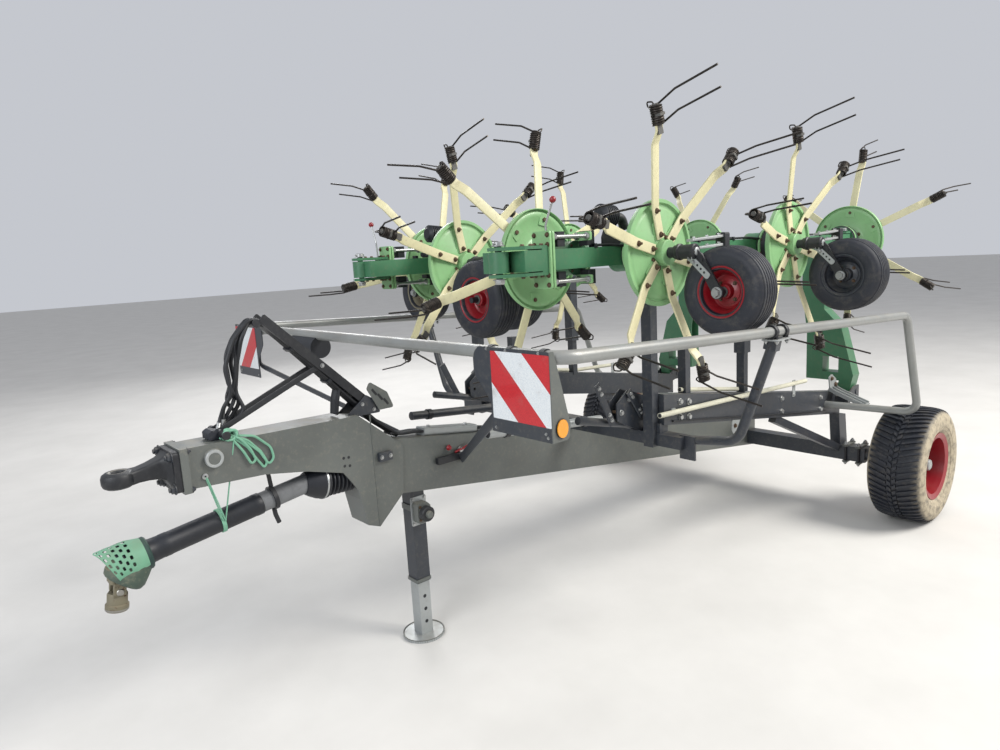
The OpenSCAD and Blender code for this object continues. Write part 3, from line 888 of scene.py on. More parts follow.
def build_yoke():
    """The collar, bell, clutch, worn cone, fork and sliding sleeve of the shaft's end."""
    end = Piece("shaft_yoke", CLUTCH, PLASTIC, STEEL, BOLT, TEAL, OLD_CONE)
    place = along(A(*YOKE_START), A(*YOKE_END))[0]
    collar = [(40, 0), (61, 2), (66, 8), (66, 30), (69, 34), (69, 44), (64, 50), (40, 50), (40, 0)]
    end.lathe(place, collar, 48, TEAL)
    bell = [(40, 40), (58, 42), (62, 60), (70, 90), (72, 120), (66, 120), (58, 80), (40, 60)]
    end.lathe(place, bell, 48, PLASTIC)
    hub = frame_at(A(4520, 0, 862), (0.80, 0, -0.60), LEFT)
    body = [(0, 0), (40, 0), (44, 6), (44, 26), (56, 30), (58, 36), (58, 50), (54, 54), (54, 62),
            (58, 66), (58, 80), (52, 86), (36, 90), (0, 90)]
    end.lathe(hub, body, 48, CLUTCH)
    for k in range(8):
        spot = turned(hub, 45 * k)
        end.bolt_in(spot, (49, 0, 83), 5.5, BOLT)
    skirt = [(54, 0), (68, 4), (76, 50), (80, 86), (74, 104), (66, 110), (60, 100), (62, 60), (54, 0)]
    end.lathe(frame_at(A(4505, 0, 872), (0.62, 0, -0.78), LEFT), skirt, 40, OLD_CONE)
    fork = frame_at(A(4584, 0, 800), (0.16, 0, -0.98), LEFT) @ Matrix.Scale(1.10, 4)
    block = rect(-34, -30, 34, 30, 12)
    end.prism(fork, block, -30, 6, CLUTCH)
    for s in (-1, 1):
        arm = counter_clockwise([(s * 18, 0), (s * 40, 0), (s * 40, 40), (s * 30, 56), (s * 22, 50)])
        turn = fork @ ON_SIDE
        end.prism(turn, rounded(arm, 5), -19, 19, CLUTCH)
        cap = frame_at(fork @ Vector((s * 28, 0, 34)), s * fork.col[0].xyz)
        end.lathe(cap, [(0, -6), (14, -6), (14, 13), (11, 16), (0, 16)], 24, STEEL)
    sleeve = [(17, 44), (30, 44), (33, 50), (33, 82), (38, 86), (38, 104), (35, 108), (24, 108),
              (22, 100), (17, 60), (17, 44)]
    end.lathe(fork, sleeve, 44, CLUTCH)
    end.lathe(fork, [(0, 60), (18, 60)], 32, BLACK)
    bright = [(35.5, 106.5), (38.2, 104), (38.2, 98), (36.5, 98)]
    end.lathe(fork, list(reversed(bright)), 40, STEEL)
    end.done("chassis", "forged_steel", "pto_yoke")


def build_net_cap():
    """The green net over the clutch, thickened and smoothed."""
    cap = Piece("shaft_net_cap", NET)
    vertices, faces = perforated_cap(66, 79, 165, 62, 298, 7, 11)
    cap.add(vertices, faces, frame_at(A(4480, 0, 870), A(*YOKE_END) - A(*YOKE_START), DOWN))
    made = cap.done("chassis", "forged_steel")
    wall = made.modifiers.new("wall", "SOLIDIFY")
    wall.thickness = 0.0026
    smooth = made.modifiers.new("smooth", "SUBSURF")
    smooth.levels = 1
    smooth.render_levels = 1


build_bellows()
build_shaft()
build_yoke()
build_net_cap()


# Hoses and their stand

def build_hoses():
    """Six hydraulic hoses that rise from the drawbar, go over the stand and fan out down its front."""
    piece = Piece("hydraulic_hoses", HOSE, ZINC)
    falls = (((4030, 1660), (4074, 1590), (4062, 1470), (4090, 1400), (4046, 1340)),
             ((4022, 1670), (4050, 1560), (4040, 1450), (4066, 1400), (4100, 1350)),
             ((4040, 1650), (4082, 1540), (4078, 1460), (4034, 1400), (4082, 1332)),
             ((4030, 1640), (4052, 1520), (4070, 1430), (4110, 1380), (4120, 1335)),
             ((4016, 1660), (4036, 1560), (4056, 1440), (4030, 1360), (4080, 1325)),
             ((4044, 1660), (4090, 1560), (4084, 1440), (4116, 1390), (4132, 1335)))
    for k, fall in enumerate(falls):
        y = -25 + 10 * k
        lift = 6 * (k % 2)
        line = [A(3300, y, 1095 + lift), A(3420, y * 1.2, 1190 + lift), A(3560, y, 1340 + lift),
                A(3900, y, 1700 + lift), A(3965, y, 1738 + lift)]
        for i, (x, z) in enumerate(fall):
            line.append(A(x, y * (1.4 - 0.2 * i) + 14 * math.sin(2.1 * k + 1.7 * i), z))
        line.append(A(4128 + 14 * (k % 3), -22 + 9 * k, 1288))
        line = soften(line, 85, 7)
        piece.tube(line, 8.5 if k % 3 else 7.5, 12, HOSE)
        place = frame_at(line[-1], line[-1] - line[-2])
        ferrule = [(0, -52), (9.6, -52), (9.6, -18), (8, -16), (8, -6), (9.6, -4), (9.6, 2), (0, 2)]
        piece.lathe(place, ferrule, 16, ZINC)
    for x, z in ((3480, 1262), (3640, 1425), (3800, 1592)):
        place = frame_at(A(x, 0, z), (0.70, 0, 0.72), LEFT)
        piece.prism(place, rect(-38, -14, 38, 18, 12), -8, 8, PLASTIC)
    piece.done("chassis", "hose_rubber", "hoses")


def build_hose_stand():
    """The channel arm with its brace, slotted bracket and the rubber block that holds the hose ends."""
    piece = Piece("hose_stand_arm", BLACK, SHADED_PAINT, PALE, ZINC, RUBBER)
    foot, head = Vector((3416, 1252)), Vector((3925, 1740))
    half = (head - foot).orthogonal().normalized() * 20
    for s in (-1, 1):
        flank = rounded([foot - half, head - half, head + half, foot + half], (4, 20, 8, 4))
        piece.side_plate(flank, s * 38.5, 5, BLACK)
    web = [foot - half, head - half, head - half * 0.75, foot - half * 0.75]
    piece.side_plate([tuple(c) for c in web], 0, 74, BLACK)
    roller = frame_at(A(3945, -40, 1718), LEFT)
    spool = [(0, 0), (17, 0), (19, 4), (17, 10), (17, 70), (19, 76), (17, 80), (0, 80)]
    piece.lathe(roller, spool, 28, BLACK)
    for s in (-1, 1):
        brace = [A(3660, s * 30, 1508), A(4163, s * 30, 1292)]
        piece.bar(brace, 9, 24, 3, BLACK)
        piece.bolt(A(3672, s * 41.5, 1500), (0, s, 0), 9, ZINC)
        piece.bolt(A(4148, s * 34.5, 1299), (0, s, 0), 7, ZINC)
        foot = rounded([(3400, 1236), (3590, 1240), (3560, 1262), (3470, 1332), (3408, 1292)], 8)
        piece.side_plate(foot, s * 44.5, 5, SHADED_PAINT)
        for x, z in ((3432, 1256), (3492, 1290)):
            piece.bolt(A(x, s * 47, z), (0, s, 0), 8, ZINC)
    block = rounded([(4112, 1266), (4196, 1266), (4196, 1296), (4180, 1306), (4122, 1302)], 8)
    piece.side_plate(block, 0, 74, RUBBER)
    slotted = rounded([(3330, 1250), (3412, 1250), (3470, 1360), (3452, 1392), (3362, 1330)], 12)
    piece.side_plate(slotted, 58, 5, CHASSIS)
    for x, z in ((3372, 1285), (3402, 1312), (3432, 1340)):
        slot = frame_at(A(x, 60.6, z), LEFT, (0.6, 0, 0.8))
        shape = rect(-20, -6, 20, 6, 5.8)
        piece.prism(slot, shape, 0, 0.6, BLACK)
    piece.done("chassis", "black_paint", "hose_stand")


build_hose_stand()
build_hoses()


# Jack

def square_ring(outer, inner, radius, low, high):
    """A square collar round Z, open in its middle."""
    def loop(half, r):
        return rect(-half, -half, half, half, r, 4)

    rings = (loop(outer, radius), loop(inner, radius * 0.5))
    count = len(rings[0])
    vertices = [(x, y, z) for ring in rings for z in (low, high) for x, y in ring]
    faces = []
    for k in range(count):
        n = (k + 1) % count
        faces.append((k, n, count + n, count + k))
        faces.append((2 * count + n, 2 * count + k, 3 * count + k, 3 * count + n))
        faces.append((count + k, count + n, 3 * count + n, 3 * count + k))
        faces.append((n, k, 2 * count + k, 2 * count + n))
    return vertices, faces


def build_jack():
    """The jack's collars, crank housing and black fittings, and the round foot with a raised rim."""
    piece = Piece("jack_housing", CHASSIS, PLASTIC, BLACK, BOLT, ZINC, PALE)
    x = 3225
    tower = frame_at(A(x, 0, 300), UP, AHEAD)
    piece.add(*square_ring(45.5, 40.2, 8, 395, 425), tower, CHASSIS)
    piece.add(*square_ring(45.5, 40.2, 8, 6, 22), tower, CHASSIS)
    cover = rect(-44, -44, 44, 44, 12)
    piece.prism(tower, cover, 499, 530, PLASTIC)
    lid = rect(-36, -36, 36, 36, 14)
    piece.prism(tower, lid, 530, 548, PLASTIC)
    side = frame_at(A(x, 40, 690), LEFT, UP)
    plate = rect(-75, -46, 75, 46, 8)
    piece.prism(side, plate, 0, 6, PALE)
    case = rounded([(-52, -40), (30, -40), (52, -20), (52, 38), (-52, 38)], 12)
    piece.prism(side, case, 6, 52, CHASSIS)
    crank = [(0, 50), (34, 50), (36, 54), (36, 82), (33, 88), (20, 89), (18, 104), (14, 108), (0, 108)]
    piece.lathe(side, crank, 36, CHASSIS)
    black = [(36, 58), (38.5, 60), (38.5, 86), (35, 90.5), (20, 91.5)]
    piece.lathe(side, black, 36, BLACK)
    for u, v in ((-64, -36), (64, -36), (64, 36), (-64, 36)):
        piece.bolt(side @ Vector((u, v, 6)), LEFT, 9, ZINC)
    for u in (-34, 34):
        piece.bolt(side @ Vector((u, 24, 52)), LEFT, 7, BOLT)
    for u, y in ((-18, -30), (20, 24)):
        stub = [A(x + u, y, 848), A(x + u, y, 872), A(x + u + 20, y * 1.5, 884)]
        piece.tube(soften(stub, 10), 7, 12, BLACK)
    piece.done("chassis", "chassis_paint")
    foot = Piece("jack_foot_plate", CHASSIS, BOLT)
    rim = [(36, 8.5), (90, 9), (102, 12), (107, 16), (110, 16), (110, 2), (106, 0), (36, 0), (36, 8.5)]
    base = frame_at(A(x, 0, 0), UP, AHEAD)
    foot.lathe(base, rim, 56)
    for z in (80, 150, 220):
        hole = frame_at(A(x, 35.1, z), LEFT)
        foot.lathe(hole, [(0, 0.2), (9, 0.2), (10, 0)], 20, BLACK)
    foot.done("jack_foot", "chassis_paint")


build_jack()


# Paint of the nodes that stay

dress(CHASSIS, "drawbar", bevel=4)
# The frame, axle beam and jack tube wear the darkened copy of the chassis paint: painted shade.
dress(SHADED_PAINT, "chassis_frame", "axle_beam", "jack_tube", bevel=4)
dress(PALE, "jack_leg", bevel=3)
dress(RAIL, "guard_rails")
dress(PLASTIC, "document_tube")
dress(DARK_GREEN, "lift_frame", "centre_beam", "wing_beam_left", "wing_beam_right", "tip_beam_left",
      "tip_beam_right", bevel=5)
dress(BLACK, "wheel_arms_centre", "wheel_arms_left", "wheel_arms_right", "wheel_arm_l4", "wheel_arm_r4",
      bevel=2)
dress(RED, "rim_left", "rim_right")


# Wings: bearing housings, hinge pins, rods, bellows and hoses

def build_wing_trim(word, body, *names):
    """The bearing housings of one body's rotors, with their bolts and covers."""
    piece = Piece("wing_trim_" + word, DARK_GREEN, BLACK, CAST, ZINC, BOLT, PLASTIC, SUNLIT_GREEN)
    for name in names:
        place = rotor_frame(name)
        housing = [(60, 64), (92, 64), (101.5, 70), (101.8, 84), (98, 88), (98, 98), (101.8, 102),
                   (101.8, 126), (108, 130), (108, 138.5), (101.5, 141), (101.5, 149), (60, 149)]
        piece.lathe(place, housing, 56, BLACK)
        collar = [(101.8, 126), (109.5, 127), (109.5, 138.5), (101.8, 139.5)]
        piece.lathe(place, collar, 56, SUNLIT_GREEN)
        for k in range(8):
            spot = turned(place, 22.5 + 45 * k)
            piece.bolt_in(spot, (104, 0, 126.5), 7, way=-1)
        if name[1] == "1":
            continue
        cover = [(0, 262), (40, 262), (46, 258), (62, 257), (78, 260.5), (81.2, 256), (81.2, 244),
                 (79.5, 240)]
        piece.lathe(place, list(reversed(cover)), 48, DARK_GREEN)
        for k in range(6):
            spot = turned(place, 30 + 60 * k)
            piece.bolt_in(spot, (68, 0, 258.5), 8)
    piece.done(body, "green_paint")


build_wing_trim("left", "wing_left", "l2", "l3")
build_wing_trim("right", "wing_right", "r2", "r3")
build_wing_trim("tip_left", "tip_left", "l4")
build_wing_trim("tip_right", "tip_right", "r4")
build_wing_trim("centre", "lift", "l1", "r1")


def hinge_pin(piece, side, x, across, bolts):
    """A hinge pin's head, washer, nut and split pin, and the bolts on the two plates that it joins."""
    y = side * across
    low = HUB_Z - BEAM_HALF - 24.5
    high = HUB_Z + BEAM_HALF + 24.5
    plate_edge = 5
    top = frame_at(A(x, y, high), UP, AHEAD)
    piece.lathe(top, [(0, 0), (30, 0), (30, 4), (24, 5), (23, 16), (19, 20), (0, 20)], 32, ZINC)
    bottom = frame_at(A(x, y, low), DOWN, AHEAD)
    piece.lathe(bottom, puck(29, 0, 4), 32, ZINC)
    piece.nut(bottom, 40, 4, 22, ZINC)
    ear = [A(x + 20, y, high + 10), A(x + 36, y + 10, high + 10), A(x + 34, y + 28, high + 12)]
    piece.tube(soften(ear, 6, 4), 2.5, 8, ZINC)
    for z, axis in ((low + plate_edge, DOWN), (high - plate_edge, UP)):
        for dx, bolt_y in bolts:
            piece.bolt(A(x + dx, side * bolt_y, z), axis, 10)


def tip_flanges(piece, side, tip):
    """The tip hinge's pin, bolts, flanges and rods, and the rubber stops."""
    hinge_pin(piece, side, tip, 632, ((-178, 712), (-178, 668), (-120, 706), (-76, 700)))
    flange = rect(side * 635, HUB_Z - 125, side * 745, HUB_Z + 125, 12)
    for x in (tip - 206, tip - 224):
        piece.cross_plate(flange, x, 12, SUNLIT_GREEN)
    for y in (650, 730):
        for z in (HUB_Z - 108, HUB_Z + 108, HUB_Z - 66, HUB_Z + 66):
            piece.bolt(A(tip - 200, side * y, z), AHEAD, 10)
            piece.bolt(A(tip - 230, side * y, z), BACK, 10)
    for z in (HUB_Z - 98, HUB_Z + 98):
        for y in (660, 722):
            rod = [A(tip - 470, side * y, z), A(tip - 224, side * y, z)]
            piece.tube(rod, 9, 12, ZINC)
            for x in (-462, -246):
                nut = frame_at(A(tip + x, side * y, z), AHEAD, UP)
                piece.nut(nut, 28, -9, 9, ZINC)
        lug = rect(side * 642, z - 20, side * 740, z + 20, 8)
        piece.cross_plate(lug, tip - 474, 10, SUNLIT_GREEN)
    for z in (HUB_Z + 88, HUB_Z - 88):
        for dx in (0, 100):
            block = frame_at(A(tip - 300 - 2 * dx, side * 690, z), UP, AHEAD)
            shape = rect(-26, -28, 26, 28, 7)
            piece.prism(block, shape, -33, 33, PLASTIC)


def wing_bellows(piece, side):
    """The bellows on its stem and saddle."""
    place, length = along(A(2420, side * 690, HUB_Z + 185), A(2520, side * 690, HUB_Z + 193))
    rings = [(30, -10), (40, 0)]
    for k in range(7):
        z = 13.5 * k
        rings += [(42, z), (53, z + 4.5), (53, z + 8), (42, z + 12.5)]
    rings += [(30, length + 4), (0, length + 4)]
    piece.lathe(place, rings, 40, PLASTIC)
    stem = [A(2330, side * 690, HUB_Z + 125), A(2350, side * 690, HUB_Z + 178),
            A(2430, side * 690, HUB_Z + 186)]
    piece.tube(soften(stem, 40), 24, 16, BLACK)
    saddle = rounded([(2360, HUB_Z + BEAM_HALF), (2500, HUB_Z + BEAM_HALF), (2500, HUB_Z + 90),
                      (2470, HUB_Z + 150), (2420, HUB_Z + 150), (2360, HUB_Z + 80)], 12)
    piece.side_plate(saddle, side * 690, 10, BLACK)


def wing_hoses(piece, side, tip):
    """Two hoses along the wing beam, in straps."""
    z = 54
    out = 752
    for y in (712, 728):
        route = [(-120, y, 30), (60, y, z), (860, y, z), (960, out, z - 10), (1130, out, z - 10),
                 (1230, y, z), (2130, y, z), (2240, out, z - 10), (2400, out, z - 10), (2500, y, z),
                 (tip - 500, y, z)]
        line = [A(x, side * across, HUB_Z + above) for x, across, above in route]
        piece.tube(soften(line, 100, 6), 6.5, 10, HOSE)
    for x in (300, 620, 1400, 1750, 2050, 2600):
        strap = rounded([(side * 700, HUB_Z + BEAM_HALF - 4), (side * 742, HUB_Z + BEAM_HALF - 4),
                         (side * 740, HUB_Z + BEAM_HALF + 18), (side * 704, HUB_Z + BEAM_HALF + 18)], 6)
        piece.cross_plate(strap, x, 16, PLASTIC)


def wing_lever(piece, side):
    """The thin lever with a red knob."""
    lever = soften([A(2880, side * 700, HUB_Z + BEAM_HALF), A(2885, side * 700, HUB_Z + 150),
                    A(2880, side * 745, HUB_Z + 255)], 30)
    piece.tube(lever, 5, 10, ZINC)
    turns = [math.pi * (k / 8 - 0.5) for k in range(1, 8)]
    knob = [(0, -15)] + [(15 * math.cos(turn), 15 * math.sin(turn)) for turn in turns] + [(0, 15)]
    piece.lathe(frame_at(lever[-1], UP), knob, 20, RED)


def build_inner_hinge(side, word):
    """The pin, bolts and ribs of the hinge between the centre beam and a wing."""
    piece = Piece("hinge_trim_" + word, DARK_GREEN, ZINC, BOLT, SUNLIT_GREEN, PLASTIC)
    hinge_pin(piece, side, -189, 684, ((-33, 570), (-33, 620), (21, 570), (21, 620)))
    for x in (-244, -146):
        rib = rect(540, HUB_Z - BEAM_HALF - 20, 600, HUB_Z + BEAM_HALF + 20, 10)
        piece.cross_plate([(side * y, z) for y, z in rib], x, 10, SUNLIT_GREEN)
    piece.done("lift", "green_paint")


def build_tip_hinge(side, word, tip):
    """What is bolted to a wing's outer end, whose hinge to the tip stands at station tip."""
    piece = Piece("tip_hinge_trim_" + word, DARK_GREEN, ZINC, BOLT, SUNLIT_GREEN, PLASTIC, BLACK, STEEL,
                  HOSE)
    tip_flanges(piece, side, tip)
    wing_bellows(piece, side)
    wing_hoses(piece, side, tip)
    wing_lever(piece, side)
    piece.done("wing_" + word, "green_paint")


build_inner_hinge(1, "left")
build_tip_hinge(1, "left", 3108)
build_inner_hinge(-1, "right")
build_tip_hinge(-1, "right", 3040)


# Rotor wheels' arms

def build_wheel_carrier_trim(name, body):
    """The kingpin's cap, the adjuster with its row of holes and pin, and the wheel pin's nut."""
    place = rotor_frame(name)
    wheel = place.inverted() @ joint("rotor_wheel_%s_spin" % name)[0]
    s = -1 if wheel.y > 0 else 1
    plate_y = wheel.y + s * (82.5 + 14)
    piece = Piece("wheel_arm_trim_" + name, BLACK, CAST, PALE, ZINC, BOLT)
    tube_part = [(25.5, -101), (36, -101), (38, -105), (38, -116), (32.5, -120), (32.5, -182), (35, -185),
                 (35, -194), (30, -199), (0, -200)]
    piece.lathe(place, list(reversed(tube_part)), 36, BLACK)
    piece.lathe(place, [(0, -205.5), (14, -205.5), (19, -203), (19, -198), (0, -198)], 24, PALE)
    bridge_low, bridge_high = sorted((0, plate_y))
    arm = rect(-20, -195.5, 24, -189.5, 2)
    turn = place @ ON_SIDE
    piece.prism(turn, arm, -bridge_high, -bridge_low, BLACK)
    face = plate_y + s * 7.5
    start = Vector((10, face, -150))
    end = Vector((118, face, -262))
    bar = frame_at(place @ start, (place.to_3x3() @ Vector((0, s, 0))), place.to_3x3() @ (end - start))
    length = (end - start).length
    shape = rect(-20, -15, length, 15, 12)
    piece.prism(bar, shape, 0, 5, PALE)
    for k in range(6):
        hole = [(0, 5.2), (5.2, 5.2), (6, 4.9)]
        piece.lathe(bar @ Matrix.Translation((4 + 24 * k, 0, 0)), list(reversed(hole)), 14, BLACK)
    pin = frame_at(bar @ Vector((52, 0, 4)), bar.col[2].xyz)
    piece.lathe(pin, [(0, 0), (8, 0), (8, 20), (6.5, 22), (0, 22)], 16, ZINC)
    loop = soften([(0, 0, 18), (30, 0, 20), (34, 20, 18), (4, 22, 14)], 10, 5)
    piece.add(*tube(loop, 2.2, 8), pin, ZINC)
    if name in ("l2", "l3", "r2", "r3"):
        hub = place @ Vector((0, 0, -150))
        far_end = hub + Vector((-300, 0, 45))
        for lift in (-20, 20):
            rail = [hub + Vector((-20, 0, 30 + lift)), far_end + Vector((0, 0, lift))]
            piece.bar(rail, 34, 12, 3, PALE)
            for t in (0.12, 0.5, 0.88):
                piece.bolt(rail[0].lerp(rail[1], t) + Vector((0, 0, 6)), UP, 9, ZINC)
        block = rect(-36, -26, 36, 26, 10)
        piece.prism(frame_at(far_end, BACK, UP), block, -20, 20, BLACK)
    gusset = rounded([(-30, -122), (52, -230), (20, -232), (-34, -180)], 6)
    middle = plate_y + s * 8.5
    piece.prism(turn, gusset, -middle - 3, -middle + 3, BLACK)
    axle = frame_at(place @ Vector((wheel.x, plate_y + s * 9, wheel.z)), place.to_3x3() @ Vector((0, s, 0)))
    piece.lathe(axle, puck(26, 0, 3), 28, ZINC)
    piece.nut(axle, 36, 3, 18, ZINC)
    far = frame_at(place @ Vector((wheel.x, wheel.y - s * 54.5, wheel.z)),
                   place.to_3x3() @ Vector((0, -s, 0)))
    piece.lathe(far, [(0, 0), (14.5, 0), (14.5, 4), (10, 7), (0, 7)], 20, ZINC)
    for r in (-10, 14):
        spot = place @ Vector((2, r, -196.2))
        piece.bolt(spot, -place.col[2].xyz, 7)
    piece.done(body, "black_paint")


for holder, held in (("lift", ("l1", "r1")), ("wing_left", ("l2", "l3")), ("wing_right", ("r2", "r3")),
                     ("tip_left", ("l4",)), ("tip_right", ("r4",))):
    for carrier in held:
        build_wheel_carrier_trim(carrier, holder)


# Drawbar head, hitch, lashing and levers

def loft(sections):
    """A skin through rounded rectangles given as (station, half width, low, high), closed at both ends."""
    vertices = []
    for x, half, low, high in sections:
        outline = rect(-half, low, half, high, min(half, (high - low) / 2) * 0.45, 4)
        vertices += [A(x, y, z) for y, z in outline]
    count = len(outline)
    faces = []
    for start in range(0, len(vertices) - count, count):
        faces += band(start, start + count, count)
    faces.append(tuple(reversed(range(count))))
    faces.append(tuple(range(len(vertices) - count, len(vertices))))
    return vertices, faces


def build_hitch():
    """The forged drawbar eye: a worn ring on an arm that widens into its bolted plate."""
    piece = Piece("hitch_forging", BLACK, STEEL, BOLT, SHADED_PAINT)
    plate = rect(-95, 1098, 95, 1263, 16)
    piece.cross_plate(plate, 4343, 26, BLACK)
    piece.add(*loft([(4352, 80, 1112, 1254), (4362, 70, 1120, 1250), (4374, 50, 1146, 1243),
                     (4392, 42, 1156, 1234), (4430, 36, 1160, 1222), (4465, 34, 1160, 1214),
                     (4490, 40, 1158, 1212), (4504, 44, 1160, 1210)]), material=BLACK)
    eye = [(22.5, 1160), (20.8, 1166), (20.8, 1204), (23, 1211), (30, 1215.5), (44, 1215), (55, 1208),
           (59.5, 1196), (59.5, 1174), (55, 1162), (44, 1154.5), (30, 1154), (22.5, 1160)]
    centre = frame_at(A(4531, 0, 0), UP)
    piece.lathe(centre, eye, 56, BLACK)
    worn = [(20.4, 1170), (20.4, 1202), (22.6, 1209.6), (30, 1216), (34.5, 1216.3), (34.5, 1215)]
    piece.lathe(centre, list(reversed(worn)), 56, STEEL)
    for y in (-78, 78):
        for z in (1116, 1245):
            piece.bolt(A(4356, y, z), AHEAD, 20, SHADED_PAINT, 8)
    piece.done("chassis", "black_paint", "hitch_eye")


build_hitch()


def head_caps(piece):
    """The boss caps, clamp tube, weld seams and bolts on the drawbar's sides."""
    boss = [(0, 96.5), (24, 96.5), (26, 98.5), (34.5, 98.5), (37, 95.5), (37, 86), (36.2, 84)]
    for s in (-1, 1):
        place = frame_at(A(4201, 0, 1205), (0, s, 0))
        piece.lathe(place, list(reversed(boss)), 44, PALE)
        weld_ring = [(36, 79.5), (40, 80), (38.5, 83), (36.2, 85)]
        piece.lathe(place, weld_ring, 40, CHASSIS)
        cap = frame_at(A(4142, s * 82, 1285), (0, s, 0))
        piece.lathe(cap, [(0, -40), (18, -40), (18, 6), (15.5, 8), (0, 8)], 28, BLACK)
        for x, z in ((3632, 1068), (3606, 1066), (3630, 1030), (3604, 1026)):
            hole = frame_at(A(x, s * 80.2, z), (0, s, 0))
            piece.lathe(hole, [(0, 0.8), (6.2, 0.8), (7, 0)], 20, BLACK)
        seam = [A(3476, s * 80.2, 700), A(3478, s * 80.2, 1240)]
        piece.tube(seam, 3.2, 8, CHASSIS)
        block = frame_at(A(3420, s * 84, 1030), (0, s, 0), AHEAD)
        body = rect(-36, -22, 36, 22, 6)
        piece.prism(block, body, -4, 16, SHADED_PAINT)
        for x in (-24, 24):
            piece.bolt(block @ Vector((x, 0, 16)), (0, s, 0), 9, ZINC)
    for y in (-90, 90):
        for z in (1102, 1258):
            piece.bolt(A(4299.5, y, z), BACK, 12, SHADED_PAINT, 4)


def lashing(piece):
    """The string wound on the head, and its taut runs that hold up the shaft."""
    loops = (((4118, 74, 1276), (4060, 88, 1250), (4010, 86, 1190), (3988, 88, 1140),
              (4004, 90, 1118), (4030, 88, 1160), (4064, 88, 1222), (4112, 80, 1270)),
             ((4122, 70, 1280), (4030, 90, 1262), (3966, 88, 1200), (3958, 90, 1150),
              (3984, 92, 1128), (4016, 90, 1190), (4080, 84, 1258)),
             ((4130, 60, 1286), (4094, 92, 1268), (4052, 90, 1210), (4036, 92, 1160),
              (4056, 92, 1148), (4082, 90, 1206), (4124, 78, 1276)))
    for line in loops:
        piece.tube(soften([A(*p) for p in line], 50, 5), 5.2, 8, TWINE)
    wound = []
    for k in range(90):
        turn = 2 * math.pi * k / 15
        wound.append(A(4112 + 4.5 * k / 15 + 20 * math.cos(turn), 66 + 18 * math.sin(turn * 0.83),
                       1283 + 20 * math.sin(turn)))
    piece.tube(wound, 5.6, 8, TWINE)
    for start, end, radius in ((A(4113, 83, 1262), A(4176, 52, 926), 3),
                               (A(4243, 86, 1137), A(4184, 50, 930), 3),
                               (A(4238, 87, 1134), A(4176, 53, 928), 2.8)):
        piece.tube([start, (start + end) / 2, end], radius, 8, TWINE)
    guard = along(A(*GUARD_START), A(*GUARD_END))[0]
    for z in (396, 404):
        piece.lathe(guard, ring(46.2, 51.5, z - 4, z + 4), 32, TWINE)
    ring_bolt = frame_at(A(4243, 80, 1140), LEFT)
    piece.lathe(ring_bolt, [(4, 2), (11, 2), (12, 4), (12, 7), (4, 9)], 20, ZINC)


def shaft_hanger(piece):
    """The hook under the drawbar with its grip round the shaft."""
    guard = along(A(*GUARD_START), A(*GUARD_END))[0]
    hanger = [A(3960, 0, 1085), A(3955, 0, 1046), A(3950, 0, 1000)]
    piece.bar(hanger, 8, 18, 2, BLACK, AHEAD)
    piece.lathe(guard, ring(44, 53, 156, 174), 40, BLACK)
    handle = [A(3948, 0, 900), A(3944, 0, 870), A(3932, 0, 832)]
    piece.tube(soften(handle, 10), 10, 14, BLACK)


def red_lever(piece):
    """The lever, the knob and their bracket on the drawbar's side."""
    lever = soften([A(3000, 82, 950), A(2950, 90, 962), A(2900, 88, 972)], 20)
    piece.tube(lever, 6.5, 12, RED)
    knob = [(0, -14), (10, -10), (15, 0), (10, 11), (0, 14)]
    piece.lathe(frame_at(A(3040, 86, 984), LEFT), knob, 24, RED)
    piece.bolt(A(2960, 75.5, 950), LEFT, 20, ZINC)
    piece.side_plate(rect(2960, 910, 3120, 945, 6), 86, 22, BLACK)


def channel_cover(piece):
    """The cover on top of the drawbar and the hoses that run under it."""
    cover = [A(3150, 0, main_top(3150) + 20), A(2810, 0, main_top(2810) + 20)]
    piece.bar(cover, 78, 40, 10, PALE)
    for x in (3100, 2860):
        piece.bolt(A(x, 0, main_top(x) + 40), UP, 11, ZINC)
    for k in range(4):
        y = -24 + 16 * k
        line = [A(3345, y, 1115), A(3270, y, 1098), A(3200, y, main_top(3200) + 24),
                A(3130, y, main_top(3130) + 22)]
        piece.tube(soften(line, 60), 7.5, 10, HOSE)
    for k in range(3):
        y = -18 + 18 * k
        line = [A(2830, y, main_top(2830) + 22), A(2700, y, main_top(2700) + 14),
                A(2300, y, main_top(2300) + 14), A(2190, y, main_top(2190) + 12)]
        piece.tube(soften(line, 60), 7.5, 10, HOSE)
    for k in range(5):
        y = -26 + 13 * k
        line = [A(3616, y, 1262), A(3606, y * 1.1, 1330), A(3590, y, 1382)]
        piece.tube(soften(line, 30), 7, 10, HOSE)


def build_head_trim():
    """All that is fixed on the drawbar and doesn't belong to the hitch, the stand or the shaft."""
    piece = Piece("drawbar_head_trim", CAST, BLACK, TWINE, ZINC, BOLT, SHADED_PAINT, RED, PALE, CHASSIS)
    for fit in (head_caps, lashing, shaft_hanger, red_lever, channel_cover):
        fit(piece)
    piece.done("chassis", "black_paint")


build_head_trim()


# Chassis fittings: rail clamps, pipes, brackets and axle clamps

def rail_clamps(piece, side):
    """The clamps and the saddle that hold the guard rail on its support."""
    for x in (2128, 2034):
        hoop = frame_at(A(x, side * RAIL_Y, rail_z(x)), (1, 0, 0.052), UP)
        piece.lathe(hoop, mirrored([(24.8, -11), (32.5, -11), (33.5, -8)]), 36, BLACK)
        for y in (-26, 26):
            leg = [A(x, side * RAIL_Y + y, rail_z(x)), A(x, side * RAIL_Y + y, rail_z(x) - 46)]
            piece.tube(leg, 6, 10, BLACK)
            piece.bolt(A(x, side * RAIL_Y + y, rail_z(x) - 41), DOWN, 10, ZINC, 6)
    saddle = frame_at(A(2081, side * RAIL_Y, rail_z(2081) - 30), UP, (1, 0, 0.052))
    shape = rect(-68, -40, 68, 40, 12)
    piece.prism(saddle, shape, -6, 1, PALE)


